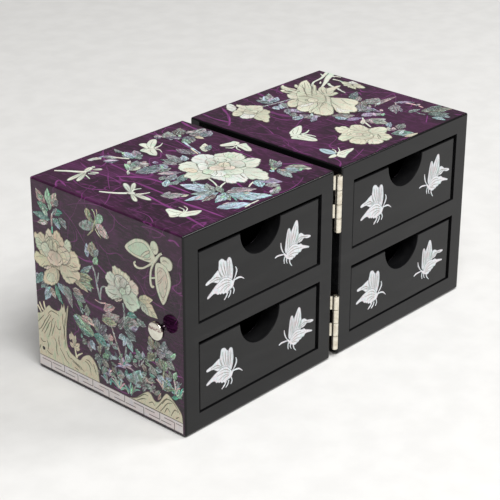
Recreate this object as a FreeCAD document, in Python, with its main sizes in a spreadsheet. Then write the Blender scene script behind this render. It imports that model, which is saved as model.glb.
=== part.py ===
"""A folding jewellery box: two lacquered cases side by side, joined by two butt hinges at the front.

Each case holds two drawers, one above the other. The cases stand open, with all four drawer fronts
in one plane, and the right case swings forward about the hinges until the fronts face each other.
X runs along the fronts, from the left case to the right one, Y runs from the front to the back,
and Z runs up. Z = 0 is the surface that the felt pads stand on. All sizes are in millimetres.
"""

import FreeCAD, Part

import math
import os

import Sketcher
from FreeCAD import Placement, Rotation, Vector

SIZES = {
    # cases
    "case_width": 101.5,
    "case_depth": 100.0,
    "case_height": 100.0,
    "case_gap": 5.7,
    "front_gap": 1.0,
    "panel_thickness": 9.0,
    "shelf_thickness": 9.0,
    "back_thickness": 6.0,
    "side_lap": 3.0,
    "shelf_lap": 3.0,
    "back_lap": 4.5,
    "edge_round": 1.0,
    "felt_thickness": 0.6,
    "felt_inset": 4.0,
    "felt_corner": 3.0,
    # hinges
    "hinge_length": 29.0,
    "hinge_inset": 3.85,
    "hinge_lift": 0.8,
    "knuckle_count": 4,
    "knuckle_diameter": 3.3,
    "knuckle_gap": 0.3,
    "leaf_thickness": 0.8,
    "leaf_reach": 11.0,
    "leaf_corner": 1.2,
    "crank_start": 0.9,
    "crank_angle": 45.0,
    "curl_angle": 75.0,
    "window_margin": 0.3,
    "pin_clearance": 0.05,
    "pin_chamfer": 0.2,
    # hinge screws
    "screw_reach": 7.2,
    "screw_spacing": 18.0,
    "screw_diameter": 1.7,
    "screw_head_angle": 90.0,
    "screw_head_land": 0.05,
    "screw_length": 6.5,
    "screw_point": 1.6,
    "screw_play": 0.05,
    "slot_width": 0.5,
    "slot_depth": 0.4,
    # knobs
    "knob_diameter": 8.8,
    "knob_projection": 5.7,
    "knob_rim": 1.5,
    "knob_crown": 0.3,
    "knob_flare": 0.9,
    "knob_neck_diameter": 2.8,
    "knob_base_diameter": 5.4,
    "knob_base_height": 0.8,
    "knob_height": 51.95,
    "knob_setback": 12.9,
    "stud_diameter": 2.4,
    "stud_cover": 0.5,
    "stud_point": 1.0,
    "stud_play": 0.05,
    # drawers
    "drawer_side_gap": 1.3,
    "drawer_top_gap": 2.0,
    "drawer_running_gap": 0.3,
    "drawer_back_gap": 1.0,
    "drawer_recess": 0.8,
    "front_thickness": 9.0,
    "front_lap": 4.0,
    "front_round": 0.4,
    "notch_radius": 13.6,
    "wall_thickness": 5.0,
    "wall_drop": 3.0,
    "wall_round": 0.8,
    "rear_lap": 2.5,
    "bottom_thickness": 3.0,
    "bottom_lift": 2.0,
    "groove_depth": 2.0,
    "groove_play": 0.1,
    "lining_thickness": 1.0,
    "lining_drop": 2.0,
    "lining_margin": 0.8,
}
TINY = 1e-6

doc = FreeCAD.newDocument("jewellery_box")
sheet = doc.addObject("Spreadsheet::Sheet", "Sizes")
for row, (alias, amount) in enumerate(SIZES.items(), 1):
    sheet.set(f"A{row}", alias)
    sheet.set(f"B{row}", str(amount))
    sheet.setAlias(f"B{row}", alias)
doc.recompute()


class Size:
    """A length or an angle: the formula that the document binds, and the amount it gives now."""

    def __init__(self, formula, amount):
        self.formula = formula
        self.amount = amount

    def __add__(self, other):
        other = as_size(other)
        return Size(f"({self.formula} + {other.formula})", self.amount + other.amount)

    def __sub__(self, other):
        other = as_size(other)
        return Size(f"({self.formula} - {other.formula})", self.amount - other.amount)

    def __mul__(self, other):
        other = as_size(other)
        return Size(f"({self.formula} * {other.formula})", self.amount * other.amount)

    def __truediv__(self, other):
        other = as_size(other)
        return Size(f"({self.formula} / {other.formula})", self.amount / other.amount)

    def __neg__(self):
        return Size(f"(-{self.formula})", -self.amount)


def as_size(value):
    """A Size as it is, or a plain number as a Size."""
    return value if isinstance(value, Size) else Size(str(value), float(value))


def of_sheet(alias):
    """The Size of one cell of the sheet."""
    return Size(f"Sizes.{alias}", float(getattr(sheet, alias)))


def sine(angle):
    return Size(f"sin({angle.formula})", math.sin(math.radians(angle.amount)))


def cosine(angle):
    return Size(f"cos({angle.formula})", math.cos(math.radians(angle.amount)))


def tangent(angle):
    return Size(f"tan({angle.formula})", math.tan(math.radians(angle.amount)))


ZERO = as_size(0)
case_width = of_sheet("case_width")
case_depth = of_sheet("case_depth")
case_height = of_sheet("case_height")
case_gap = of_sheet("case_gap")
panel_thickness = of_sheet("panel_thickness")
shelf_thickness = of_sheet("shelf_thickness")
back_thickness = of_sheet("back_thickness")
side_lap = of_sheet("side_lap")
shelf_lap = of_sheet("shelf_lap")
back_lap = of_sheet("back_lap")
edge_round = of_sheet("edge_round")
felt_thickness = of_sheet("felt_thickness")
felt_inset = of_sheet("felt_inset")
hinge_length = of_sheet("hinge_length")
hinge_inset = of_sheet("hinge_inset")
knuckle_count = of_sheet("knuckle_count")
knuckle_gap = of_sheet("knuckle_gap")
leaf_thickness = of_sheet("leaf_thickness")
screw_play = of_sheet("screw_play")
screw_diameter = of_sheet("screw_diameter")
screw_head_angle = of_sheet("screw_head_angle")
screw_length = of_sheet("screw_length")
knob_setback = of_sheet("knob_setback")
stud_diameter = of_sheet("stud_diameter")
stud_play = of_sheet("stud_play")
drawer_recess = of_sheet("drawer_recess")
front_thickness = of_sheet("front_thickness")
front_lap = of_sheet("front_lap")
notch_radius = of_sheet("notch_radius")
wall_thickness = of_sheet("wall_thickness")
rear_lap = of_sheet("rear_lap")
bottom_thickness = of_sheet("bottom_thickness")
bottom_lift = of_sheet("bottom_lift")
groove_depth = of_sheet("groove_depth")
groove_play = of_sheet("groove_play")
lining_thickness = of_sheet("lining_thickness")

# A screw's head fills its leaf down to a thin land, and a stud ends short of the shelf.
screw_head_depth = leaf_thickness - of_sheet("screw_head_land")
screw_head_diameter = screw_diameter + screw_head_depth * tangent(screw_head_angle / 2) * 2
stud_length = panel_thickness - shelf_lap - of_sheet("stud_cover")

# The hinge axis is on the plane midway between the cases, half the shut gap in front of them.
half_gap = case_gap / 2
axis_proud = of_sheet("front_gap") / 2
barrel_radius = of_sheet("knuckle_diameter") / 2
eye_radius = barrel_radius - leaf_thickness
knuckle_pitch = hinge_length / knuckle_count
front_y = (axis_proud + barrel_radius - case_depth) / 2
axis_y = front_y - axis_proud
case_middle_z = felt_thickness + case_height / 2
hinge_offset = case_height / 2 - hinge_inset - hinge_length / 2
lower_hinge_middle = of_sheet("hinge_lift") - hinge_offset
upper_hinge_middle = of_sheet("hinge_lift") + hinge_offset
screw_offset = of_sheet("screw_spacing") / 2
screw_reach = of_sheet("screw_reach")
knob_offset = of_sheet("knob_height") - case_height / 2

# The openings between the panels, and the drawers that fill them.
inner_depth = case_depth - back_thickness
opening_width = case_width - panel_thickness * 2
opening_height = (case_height - panel_thickness * 2 - shelf_thickness) / 2
front_width = opening_width - of_sheet("drawer_side_gap") * 2
front_height = opening_height - of_sheet("drawer_top_gap") - of_sheet("drawer_running_gap")
drawer_length = inner_depth - drawer_recess - of_sheet("drawer_back_gap")
wall_height = front_height - of_sheet("wall_drop")
inner_width = front_width - wall_thickness * 2
inner_length = drawer_length - front_thickness - wall_thickness
floor_height = bottom_lift + bottom_thickness
lining_height = wall_height - floor_height - of_sheet("lining_drop")


def origin_part(body, role):
    """One of a body's own origin planes or axes."""
    return next(item for item in body.Origin.OriginFeatures if item.Role == role)


def place(item, x, y, z, axis=None, angle=0.0):
    """Puts an object at a point worked out from the sheet, turned by an angle about an axis."""
    turn = Rotation(axis, angle) if axis else Rotation()
    item.Placement = Placement(Vector(x.amount, y.amount, z.amount), turn)
    for name, size in zip("xyz", (x, y, z)):
        item.setExpression(f"Placement.Base.{name}", size.formula)


def new_body(label):
    body = doc.addObject("PartDesign::Body", label)
    body.Label = label
    return body


def new_sketch(body, role, lift=None):
    """A sketch on an origin plane of its own body, or parallel to it at a height."""
    sketch = body.newObject("Sketcher::SketchObject", f"{body.Name}_sketch")
    sketch.AttachmentSupport = [(origin_part(body, role), "")]
    sketch.MapMode = "FlatFace"
    if lift is not None:
        sketch.AttachmentOffset = Placement(Vector(0, 0, lift.amount), Rotation())
        sketch.setExpression("AttachmentOffset.Base.z", lift.formula)
    return sketch


def bind(sketch, kind, *where, size):
    """Adds a dimension to a sketch and binds it to its formula."""
    number = sketch.addConstraint(Sketcher.Constraint(kind, *where, size.amount))
    sketch.setExpression(f"Constraints[{number}]", size.formula)


def hold(sketch, side, end, x, y):
    """Holds one end of a side at a point of the sketch."""
    for kind, axis, size in (("DistanceX", -2, x), ("DistanceY", -1, y)):
        if size is ZERO:
            sketch.addConstraint(Sketcher.Constraint("PointOnObject", side, end, axis))
        else:
            bind(sketch, kind, -1, 1, side, end, size=size)


def arc(start, end, turn, centre):
    """An arc from start to end about a centre, turning left or right, and the numbers of its ends."""
    first, last = (start, end) if turn == "left" else (end, start)
    angles = [math.atan2(point.y - centre.y, point.x - centre.x) for point in (first, last)]
    whole = Part.Circle(centre, Vector(0, 0, 1), start.distanceToPoint(centre))
    return Part.ArcOfCircle(whole, *angles), (1, 2) if turn == "left" else (2, 1)


def draw(sketch, corners, bends=()):
    """A closed outline through its corners, each held at its distance from the two axes.
    bends maps a side's number to the way that its arc turns and the arc's centre."""
    bends = dict(bends)
    first = sketch.GeometryCount
    points = [Vector(x.amount, y.amount, 0) for x, y in corners]
    ends = []
    for number, (start, end) in enumerate(zip(points, points[1:] + points[:1])):
        side, side_ends = Part.LineSegment(start, end), (1, 2)
        if number in bends:
            turn, centre_x, centre_y = bends[number]
            centre = Vector(centre_x.amount, centre_y.amount, 0)
            side, side_ends = arc(start, end, turn, centre)
        sketch.addGeometry(side)
        ends.append(side_ends)
    for number, (x, y) in enumerate(corners):
        following = (number + 1) % len(corners)
        side = first + number
        join = (side, ends[number][1], first + following, ends[following][0])
        sketch.addConstraint(Sketcher.Constraint("Coincident", *join))
        hold(sketch, side, ends[number][0], x, y)
        if number in bends:
            chord = points[following] - points[number]
            _, centre_x, centre_y = bends[number]
            hold_centre(sketch, side, chord, centre_x, centre_y)


def hold_centre(sketch, side, chord, x, y):
    """Holds an arc's centre across its chord: the ends of the arc fix the rest."""
    flat = abs(chord.x) > abs(chord.y)
    kind, axis, size = ("DistanceY", -1, y) if flat else ("DistanceX", -2, x)
    if size is ZERO:
        sketch.addConstraint(Sketcher.Constraint("PointOnObject", side, 3, axis))
    else:
        bind(sketch, kind, -1, 1, side, 3, size=size)


def rectangle(sketch, x, y, width, height):
    """A rectangle with its lower left corner at x, y."""
    first = sketch.GeometryCount
    low = Vector(x.amount, y.amount, 0)
    across = Vector(width.amount, 0, 0)
    up = Vector(0, height.amount, 0)
    corners = [low, low + across, low + across + up, low + up]
    for start, end in zip(corners, corners[1:] + corners[:1]):
        sketch.addGeometry(Part.LineSegment(start, end))
    for side in range(4):
        after = first + (side + 1) % 4
        sketch.addConstraint(Sketcher.Constraint("Coincident", first + side, 2, after, 1))
        kind = "Vertical" if side % 2 else "Horizontal"
        sketch.addConstraint(Sketcher.Constraint(kind, first + side))
    hold(sketch, first, 1, x, y)
    bind(sketch, "DistanceX", first, 1, first, 2, size=width)
    bind(sketch, "DistanceY", first + 1, 1, first + 1, 2, size=height)


def circle(sketch, x, y, diameter):
    middle = Vector(x.amount, y.amount, 0)
    side = sketch.addGeometry(Part.Circle(middle, Vector(0, 0, 1), diameter.amount / 2))
    hold(sketch, side, 3, x, y)
    bind(sketch, "Diameter", side, size=diameter)


def pad(body, sketch, length, backwards=False, both_ways=False):
    """Pads a sketch along its plane's normal, against it, or half each way."""
    feature = body.newObject("PartDesign::Pad", f"{body.Name}_pad")
    feature.Profile = sketch
    feature.setExpression("Length", length.formula)
    feature.Reversed = backwards
    if both_ways:
        feature.SideType = "Symmetric"
    doc.recompute()
    return feature


def pocket(body, sketch, depth=None, backwards=False, both_ways=False):
    """Cuts a sketch's outline away, to a depth or right through, and makes sure that it cuts."""
    before = body.Shape.Volume
    feature = body.newObject("PartDesign::Pocket", f"{body.Name}_pocket")
    feature.Profile = sketch
    if depth is None:
        feature.Type = "ThroughAll"
    else:
        feature.setExpression("Length", depth.formula)
    feature.Reversed = backwards
    if both_ways:
        feature.SideType = "Symmetric"
    doc.recompute()
    if body.Shape.Volume > before - TINY:
        raise RuntimeError(f"{feature.Name} cuts nothing")
    return feature


def revolve(body, sketch):
    """Turns a sketch's outline once round the sketch's vertical axis."""
    feature = body.newObject("PartDesign::Revolution", f"{body.Name}_turned")
    feature.Profile = sketch
    feature.ReferenceAxis = (sketch, ["V_Axis"])
    feature.Angle = 360.0
    doc.recompute()
    return feature


def edges_where(body, keep):
    """The names of the edges of a body whose bounding box passes a test."""
    edges = enumerate(body.Shape.Edges, 1)
    return [f"Edge{number}" for number, edge in edges if keep(edge.BoundBox)]


def soften(body, kind, size_name, size, keep):
    """Rounds or chamfers the edges that pass a test, in the body's own frame."""
    edges = edges_where(body, keep)
    shaped = body.Tip
    feature = body.newObject(f"PartDesign::{kind}", f"{body.Name}_{kind.lower()}")
    feature.Base = (shaped, edges)
    feature.setExpression(size_name, size.formula)
    doc.recompute()
    return feature


def upright(box):
    """Is an edge with this bounding box parallel to Z?"""
    return box.ZLength > TINY > max(box.XLength, box.YLength)


def cover_panel(label, x, y, z, turned):
    """A top or bottom board: its inner face is rabbeted over the side panels and the back panel."""
    body = new_body(label)
    outline = new_sketch(body, "XY_Plane")
    rectangle(outline, ZERO, ZERO, case_width, case_depth)
    pad(body, outline, panel_thickness)
    side_rabbets = new_sketch(body, "XZ_Plane")
    rectangle(side_rabbets, ZERO, ZERO, panel_thickness, side_lap)
    rectangle(side_rabbets, case_width - panel_thickness, ZERO, panel_thickness, side_lap)
    pocket(body, side_rabbets)
    rear_rabbet = new_sketch(body, "XY_Plane")
    rear_width = case_width - (panel_thickness - back_lap) * 2
    rectangle(rear_rabbet, panel_thickness - back_lap, inner_depth, rear_width, back_thickness)
    pocket(body, rear_rabbet, back_lap, backwards=True)
    wide, deep, thick = case_width.amount, case_depth.amount, panel_thickness.amount

    def outer(box):
        corner = min(box.XMin, wide - box.XMax) < TINY and min(box.YMin, deep - box.YMax) < TINY
        return box.ZMin > thick - TINY or (upright(box) and corner)

    soften(body, "Fillet", "Radius", edge_round, outer)
    place(body, x, y, z, Vector(0, 1, 0), 180.0 if turned else 0.0)


def side_panel(label, x, turned, holes, hole_diameter, hole_depth):
    """An upright board: a housing for the shelf, a rabbet for the back, and blind holes outside.
    Its outer face is at x and it reaches towards +X, or towards -X when it is turned over."""
    body = new_body(label)
    plan = new_sketch(body, "XY_Plane")
    lip = panel_thickness - back_lap
    corners = [
        (ZERO, ZERO),
        (panel_thickness, ZERO),
        (panel_thickness, inner_depth),
        (lip, inner_depth),
        (lip, case_depth),
        (ZERO, case_depth),
    ]
    draw(plan, corners)
    pad(body, plan, case_height - (panel_thickness - side_lap) * 2, both_ways=True)
    housing = new_sketch(body, "YZ_Plane", panel_thickness - shelf_lap)
    rectangle(housing, ZERO, -shelf_thickness / 2, inner_depth, shelf_thickness)
    pocket(body, housing, backwards=True)
    drilling = new_sketch(body, "YZ_Plane")
    for hole_y, hole_z in holes:
        circle(drilling, hole_y, hole_z, hole_diameter)
    pocket(body, drilling, hole_depth, backwards=True)
    deep = case_depth.amount

    def outer(box):
        at_end = min(box.YMin, deep - box.YMax) < TINY
        return upright(box) and box.XMax < TINY and at_end

    soften(body, "Fillet", "Radius", edge_round, outer)
    place(body, x, front_y, case_middle_z, Vector(0, 1, 0), 180.0 if turned else 0.0)


def board(label, width, depth, height, x, y, z):
    """A plain board."""
    body = new_body(label)
    outline = new_sketch(body, "XY_Plane")
    rectangle(outline, ZERO, ZERO, width, depth)
    pad(body, outline, height)
    place(body, x, y, z)
    return body


def knob(label, x, towards):
    """A turned knob: a stud in the panel, a foot, a neck and a polished face with a low crown."""
    body = new_body(label)
    foot = stud_length
    crown = of_sheet("knob_crown")
    face = foot + of_sheet("knob_projection") - crown
    rim = face - of_sheet("knob_rim")
    stud = stud_diameter / 2
    neck = of_sheet("knob_neck_diameter") / 2
    base = of_sheet("knob_base_diameter") / 2
    edge = of_sheet("knob_diameter") / 2
    shoulder = foot + of_sheet("knob_base_height")
    corners = [
        (ZERO, ZERO),
        (stud / 2, ZERO),
        (stud, of_sheet("stud_point")),
        (stud, foot),
        (base, foot),
        (base, shoulder),
        (neck, shoulder),
        (neck, rim - of_sheet("knob_flare")),
        (edge, rim),
        (edge, face),
        (ZERO, face + crown),
    ]
    crown_radius = (edge * edge + crown * crown) / (crown * 2)
    crown_centre = face + crown - crown_radius
    profile = new_sketch(body, "XZ_Plane")
    draw(profile, corners, {9: ("left", ZERO, crown_centre)})
    revolve(body, profile)
    turn = 90.0 if towards > 0 else -90.0
    z = felt_thickness + of_sheet("knob_height")
    place(body, x - stud_length * towards, front_y + knob_setback, z, Vector(0, 1, 0), turn)


def hinge_leaf(label, z, turned):
    """A pressed leaf, rolled round the pin at its own knuckles and cut away at the other leaf's.
    The strip lies on the case's end, is cranked in to the barrel and curls once round the eye."""
    body = new_body(label)
    crank_start = of_sheet("crank_start")
    crank_angle = of_sheet("crank_angle")
    curl_angle = of_sheet("curl_angle")
    crank_end = crank_start + (half_gap - barrel_radius) / tangent(crank_angle)
    mitre = leaf_thickness / 2 * tangent(crank_angle / 2)
    leaf_inside = half_gap - leaf_thickness
    leaf_end = of_sheet("leaf_reach")
    corners = [
        (barrel_radius * cosine(curl_angle), barrel_radius * sine(curl_angle)),
        (barrel_radius, ZERO),
        (barrel_radius, crank_start - mitre),
        (half_gap, crank_end - mitre),
        (half_gap, leaf_end),
        (leaf_inside, leaf_end),
        (leaf_inside, crank_end + mitre),
        (eye_radius, crank_start + mitre),
        (eye_radius, ZERO),
        (eye_radius * cosine(curl_angle), eye_radius * sine(curl_angle)),
    ]
    strip = new_sketch(body, "XY_Plane")
    draw(strip, corners, {0: ("left", ZERO, ZERO), 8: ("right", ZERO, ZERO)})
    pad(body, strip, hinge_length)

    window = new_sketch(body, "YZ_Plane")
    window_front = -barrel_radius - of_sheet("window_margin")
    window_back = crank_end + mitre + of_sheet("window_margin")
    window_low = knuckle_pitch - knuckle_gap / 2
    window_height = knuckle_pitch + knuckle_gap
    rectangle(window, window_front, window_low, window_back - window_front, window_height)
    first_window = pocket(body, window, both_ways=True)
    windows = body.newObject("PartDesign::LinearPattern", f"{body.Name}_windows")
    windows.Originals = [first_window]
    windows.Direction = (origin_part(body, "Z_Axis"), [""])
    windows.setExpression("Length", (knuckle_pitch * (knuckle_count - 2)).formula)
    windows.setExpression("Occurrences", (knuckle_count / 2).formula)
    body.Tip = windows
    doc.recompute()

    centres = new_sketch(body, "YZ_Plane", leaf_inside)
    for offset in (-screw_offset, screw_offset):
        circle(centres, screw_reach, hinge_length / 2 + offset, screw_diameter)
    holes = body.newObject("PartDesign::Hole", f"{body.Name}_holes")
    holes.Profile = centres
    doc.recompute()
    holes.DepthType = "ThroughAll"
    holes.Reversed = True
    holes.HoleCutType = "Countersink"
    holes.HoleCutCustomValues = True
    holes.setExpression("Diameter", (screw_diameter + screw_play * 2).formula)
    holes.setExpression("HoleCutDiameter", (screw_head_diameter + screw_play * 2).formula)
    holes.setExpression("HoleCutCountersinkAngle", screw_head_angle.formula)
    doc.recompute()
    reach = leaf_end.amount

    def rear_corner(box):
        return box.YMin > reach - TINY and max(box.YLength, box.ZLength) < TINY < box.XLength

    soften(body, "Fillet", "Radius", of_sheet("leaf_corner"), rear_corner)
    place(body, ZERO, axis_y, z, Vector(0, 1, 0), 180.0 if turned else 0.0)


def hinge_pin(label, z):
    body = new_body(label)
    section = new_sketch(body, "XY_Plane")
    circle(section, ZERO, ZERO, (eye_radius - of_sheet("pin_clearance")) * 2)
    pad(body, section, hinge_length)

    def rim(box):
        return box.ZLength < TINY < box.XLength

    soften(body, "Chamfer", "Size", of_sheet("pin_chamfer"), rim)
    place(body, ZERO, axis_y, z)


def screw(label, z, towards):
    """A countersunk wood screw, driven towards -X or +X, with its head flush with the leaf."""
    body = new_body(label)
    head = screw_head_diameter / 2
    shank = screw_diameter / 2
    point = screw_length - of_sheet("screw_point")
    corners = [
        (ZERO, ZERO),
        (head, ZERO),
        (shank, screw_head_depth),
        (shank, point),
        (ZERO, screw_length),
    ]
    profile = new_sketch(body, "XZ_Plane")
    draw(profile, corners)
    revolve(body, profile)
    slot = new_sketch(body, "XY_Plane")
    slot_width = of_sheet("slot_width")
    rectangle(slot, -head * 2, -slot_width / 2, head * 4, slot_width)
    pocket(body, slot, of_sheet("slot_depth"), backwards=True)
    x = (half_gap - leaf_thickness) * towards
    place(body, x, axis_y + screw_reach, z, Vector(0, 1, 0), 90.0 * towards)
    return body


def drawer_front(label, x, y, z):
    """The lacquered front: a finger notch, rabbets for the walls and a groove for the bottom."""
    body = new_body(label)
    middle = front_width / 2
    corners = [
        (ZERO, ZERO),
        (front_width, ZERO),
        (front_width, front_height),
        (middle + notch_radius, front_height),
        (middle - notch_radius, front_height),
        (ZERO, front_height),
    ]
    face = new_sketch(body, "XZ_Plane")
    draw(face, corners, {3: ("right", middle, front_height)})
    pad(body, face, front_thickness, backwards=True)
    rabbets = new_sketch(body, "XY_Plane")
    rabbet_depth = front_thickness - front_lap
    rectangle(rabbets, ZERO, front_lap, wall_thickness, rabbet_depth)
    rectangle(rabbets, front_width - wall_thickness, front_lap, wall_thickness, rabbet_depth)
    pocket(body, rabbets, wall_height, backwards=True)
    groove = new_sketch(body, "XY_Plane", bottom_lift)
    groove_start = front_thickness - groove_depth
    rectangle(groove, wall_thickness, groove_start, inner_width, groove_depth)
    pocket(body, groove, bottom_thickness, backwards=True)

    def front_edge(box):
        return box.YMax < TINY

    soften(body, "Fillet", "Radius", of_sheet("front_round"), front_edge)
    place(body, x, y, z)


def drawer_wall(label, x, y, z, inward):
    """A side wall, with its outer face at x: a rabbet for the back and a groove for the bottom."""
    body = new_body(label)
    to_right = inward > 0
    face = new_sketch(body, "YZ_Plane")
    rectangle(face, front_lap, ZERO, drawer_length - front_lap, wall_height)
    pad(body, face, wall_thickness, backwards=not to_right)
    rabbet = new_sketch(body, "YZ_Plane", (wall_thickness - rear_lap) * inward)
    rectangle(rabbet, drawer_length - wall_thickness, ZERO, wall_thickness, wall_height)
    pocket(body, rabbet, backwards=to_right)
    groove = new_sketch(body, "YZ_Plane", (wall_thickness - groove_depth) * inward)
    groove_start = front_thickness - groove_depth
    groove_length = drawer_length - wall_thickness - groove_start
    rectangle(groove, groove_start, bottom_lift, groove_length, bottom_thickness)
    pocket(body, groove, backwards=to_right)
    lap_end = front_thickness.amount
    top = wall_height.amount

    def top_edge(box):
        return box.ZMin > top - TINY and box.YLength > lap_end and box.XLength < TINY

    soften(body, "Fillet", "Radius", of_sheet("wall_round"), top_edge)
    place(body, x, y, z)


def drawer_back(label, x, y, z):
    body = new_body(label)
    width = inner_width + rear_lap * 2
    plan = new_sketch(body, "XY_Plane")
    rectangle(plan, ZERO, ZERO, width, wall_thickness)
    pad(body, plan, wall_height)
    groove = new_sketch(body, "XY_Plane", bottom_lift)
    groove_width = inner_width + groove_depth * 2
    rectangle(groove, rear_lap - groove_depth, ZERO, groove_width, groove_depth)
    pocket(body, groove, bottom_thickness, backwards=True)
    place(body, x, y, z)


def drawer_lining(label, x, y, z):
    """A velvet-covered tray of thin card, cut out behind the finger notch."""
    body = board(label, inner_width, inner_length, lining_height, x, y, z)
    inside = new_sketch(body, "XY_Plane", lining_thickness)
    clear_width = inner_width - lining_thickness * 2
    clear_length = inner_length - lining_thickness * 2
    rectangle(inside, lining_thickness, lining_thickness, clear_width, clear_length)
    pocket(body, inside, backwards=True)
    notch = new_sketch(body, "XZ_Plane")
    notch_diameter = (notch_radius + of_sheet("lining_margin")) * 2
    circle(notch, inner_width / 2, front_height - floor_height, notch_diameter)
    pocket(body, notch, lining_thickness)


def drawer(name, x, z):
    """One drawer, with the lower left corner of its front at x, z."""
    y = front_y + drawer_recess
    drawer_front(f"{name}_front", x, y, z)
    drawer_wall(f"{name}_left_wall", x, y, z, 1)
    drawer_wall(f"{name}_right_wall", x + front_width, y, z, -1)
    rear_y = y + drawer_length - wall_thickness
    drawer_back(f"{name}_back", x + wall_thickness - rear_lap, rear_y, z)
    tongue = groove_depth - groove_play
    bottom_width = inner_width + tongue * 2
    bottom_length = inner_length + tongue * 2
    bottom_x = x + wall_thickness - tongue
    bottom_y = y + front_thickness - tongue
    bottom_z = z + bottom_lift
    board(
        f"{name}_bottom", bottom_width, bottom_length, bottom_thickness, bottom_x, bottom_y, bottom_z
    )
    drawer_lining(f"{name}_lining", x + wall_thickness, y + front_thickness, z + floor_height)


def case(name, x, outer_x, hinge_x, towards):
    """One case, with its left end at x. Its outer end faces the way that towards says."""
    top_z = felt_thickness + case_height - panel_thickness
    cover_panel(f"{name}_top_panel", x, front_y, top_z, turned=False)
    bottom_z = felt_thickness + panel_thickness
    cover_panel(f"{name}_bottom_panel", x + case_width, front_y, bottom_z, turned=True)
    knob_hole = [(knob_setback, knob_offset * -towards)]
    knob_bore = stud_diameter + stud_play * 2
    outer_turned = towards > 0
    side_panel(
        f"{name}_outer_side", outer_x, outer_turned, knob_hole, knob_bore, stud_length + stud_play
    )
    hole_y = screw_reach - axis_proud
    screw_holes = [
        (hole_y, (middle + offset) * towards)
        for middle in (lower_hinge_middle, upper_hinge_middle)
        for offset in (-screw_offset, screw_offset)
    ]
    screw_bore = screw_diameter + screw_play * 2
    screw_depth = screw_length - leaf_thickness + screw_play
    side_panel(
        f"{name}_hinge_side", hinge_x, not outer_turned, screw_holes, screw_bore, screw_depth
    )
    lip = panel_thickness - back_lap
    board(
        f"{name}_back_panel",
        case_width - lip * 2,
        back_thickness,
        case_height - lip * 2,
        x + lip,
        front_y + inner_depth,
        felt_thickness + lip,
    )
    shelf_inset = panel_thickness - shelf_lap
    board(
        f"{name}_shelf",
        case_width - shelf_inset * 2,
        inner_depth,
        shelf_thickness,
        x + shelf_inset,
        front_y,
        case_middle_z - shelf_thickness / 2,
    )
    felt_width = case_width - felt_inset * 2
    felt_depth = case_depth - felt_inset * 2
    felt = board(
        f"{name}_base_felt", felt_width, felt_depth, felt_thickness, x + felt_inset,
        front_y + felt_inset, ZERO,
    )
    soften(felt, "Fillet", "Radius", of_sheet("felt_corner"), upright)
    knob(f"{name}_knob", outer_x, towards)
    drawer_x = x + panel_thickness + of_sheet("drawer_side_gap")
    lower_z = felt_thickness + panel_thickness + of_sheet("drawer_running_gap")
    drawer(f"{name}_lower_drawer", drawer_x, lower_z)
    drawer(f"{name}_upper_drawer", drawer_x, lower_z + opening_height + shelf_thickness)


def hinge(name, middle):
    """One hinge, at a height measured from the middle of the cases. The leaves are the same part."""
    low = case_middle_z + middle - hinge_length / 2
    hinge_leaf(f"{name}_hinge_right_leaf", low, turned=False)
    hinge_leaf(f"{name}_hinge_left_leaf", low + hinge_length, turned=True)
    hinge_pin(f"{name}_hinge_pin", low)


def screw_group(label, towards):
    """The four screws of one case's leaves, as one group of separate solids."""
    middles = [
        case_middle_z + middle + offset
        for middle in (lower_hinge_middle, upper_hinge_middle)
        for offset in (-screw_offset, screw_offset)
    ]
    screws = [screw(f"{label}_{n}", z, towards) for n, z in enumerate(middles, 1)]
    group = doc.addObject("Part::Compound", label)
    group.Label = label
    group.Links = screws
    doc.recompute()
    return screws


left_outer_x = -half_gap - case_width
right_outer_x = half_gap + case_width
case("left", left_outer_x, left_outer_x, -half_gap, -1)
case("right", half_gap, right_outer_x, half_gap, 1)
hinge("lower", lower_hinge_middle)
hinge("upper", upper_hinge_middle)
loose = screw_group("left_hinge_screws", -1) + screw_group("right_hinge_screws", 1)
doc.recompute()

for item in doc.Objects:
    if {"Invalid", "Error"} & set(item.State):
        raise RuntimeError(f"{item.Label} is {item.State}")
kinds = ("PartDesign::Body", "Part::Compound")
nodes = [item for item in doc.Objects if item.TypeId in kinds and item not in loose]
for item in nodes:
    if item.Shape.isNull() or not item.Shape.isValid():
        raise RuntimeError(f"{item.Label} has no valid shape")

os.makedirs("parts", exist_ok=True)
for item in nodes:
    item.Shape.exportStep(f"parts/{item.Label}.step")
print(len(nodes), "sub-parts,", sum(len(item.Shape.Solids) for item in nodes), "solids")
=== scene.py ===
"""The looks of a folding jewellery box: lacquer over fibre paper, shell inlay, velvet, felt and metal.

Sizes in this file are in millimetres on the box and become metres where a mesh is made. A point on a
face of the box is a complex number: millimetres across the face and up it, from its lower left corner.
"""

import cmath
import math
import random

import bpy
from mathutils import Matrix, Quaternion, Vector
from mathutils.geometry import tessellate_polygon


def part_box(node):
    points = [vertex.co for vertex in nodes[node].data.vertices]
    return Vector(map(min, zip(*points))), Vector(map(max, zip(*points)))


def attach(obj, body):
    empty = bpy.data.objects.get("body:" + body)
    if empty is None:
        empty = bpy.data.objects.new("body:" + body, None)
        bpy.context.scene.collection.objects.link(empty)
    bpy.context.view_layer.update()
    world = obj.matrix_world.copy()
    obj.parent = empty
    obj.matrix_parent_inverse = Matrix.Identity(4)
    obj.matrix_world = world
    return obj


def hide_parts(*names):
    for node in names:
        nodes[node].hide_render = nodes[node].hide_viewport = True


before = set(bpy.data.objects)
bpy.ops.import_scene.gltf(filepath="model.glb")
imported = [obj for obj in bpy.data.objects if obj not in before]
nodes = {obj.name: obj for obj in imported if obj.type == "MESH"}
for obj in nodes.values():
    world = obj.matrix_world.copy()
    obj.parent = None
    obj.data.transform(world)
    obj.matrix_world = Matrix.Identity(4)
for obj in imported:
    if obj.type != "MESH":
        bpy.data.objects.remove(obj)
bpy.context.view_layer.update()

MM = 0.001
SIDES = ("left", "right")
LEVELS = ("upper", "lower")


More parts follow.
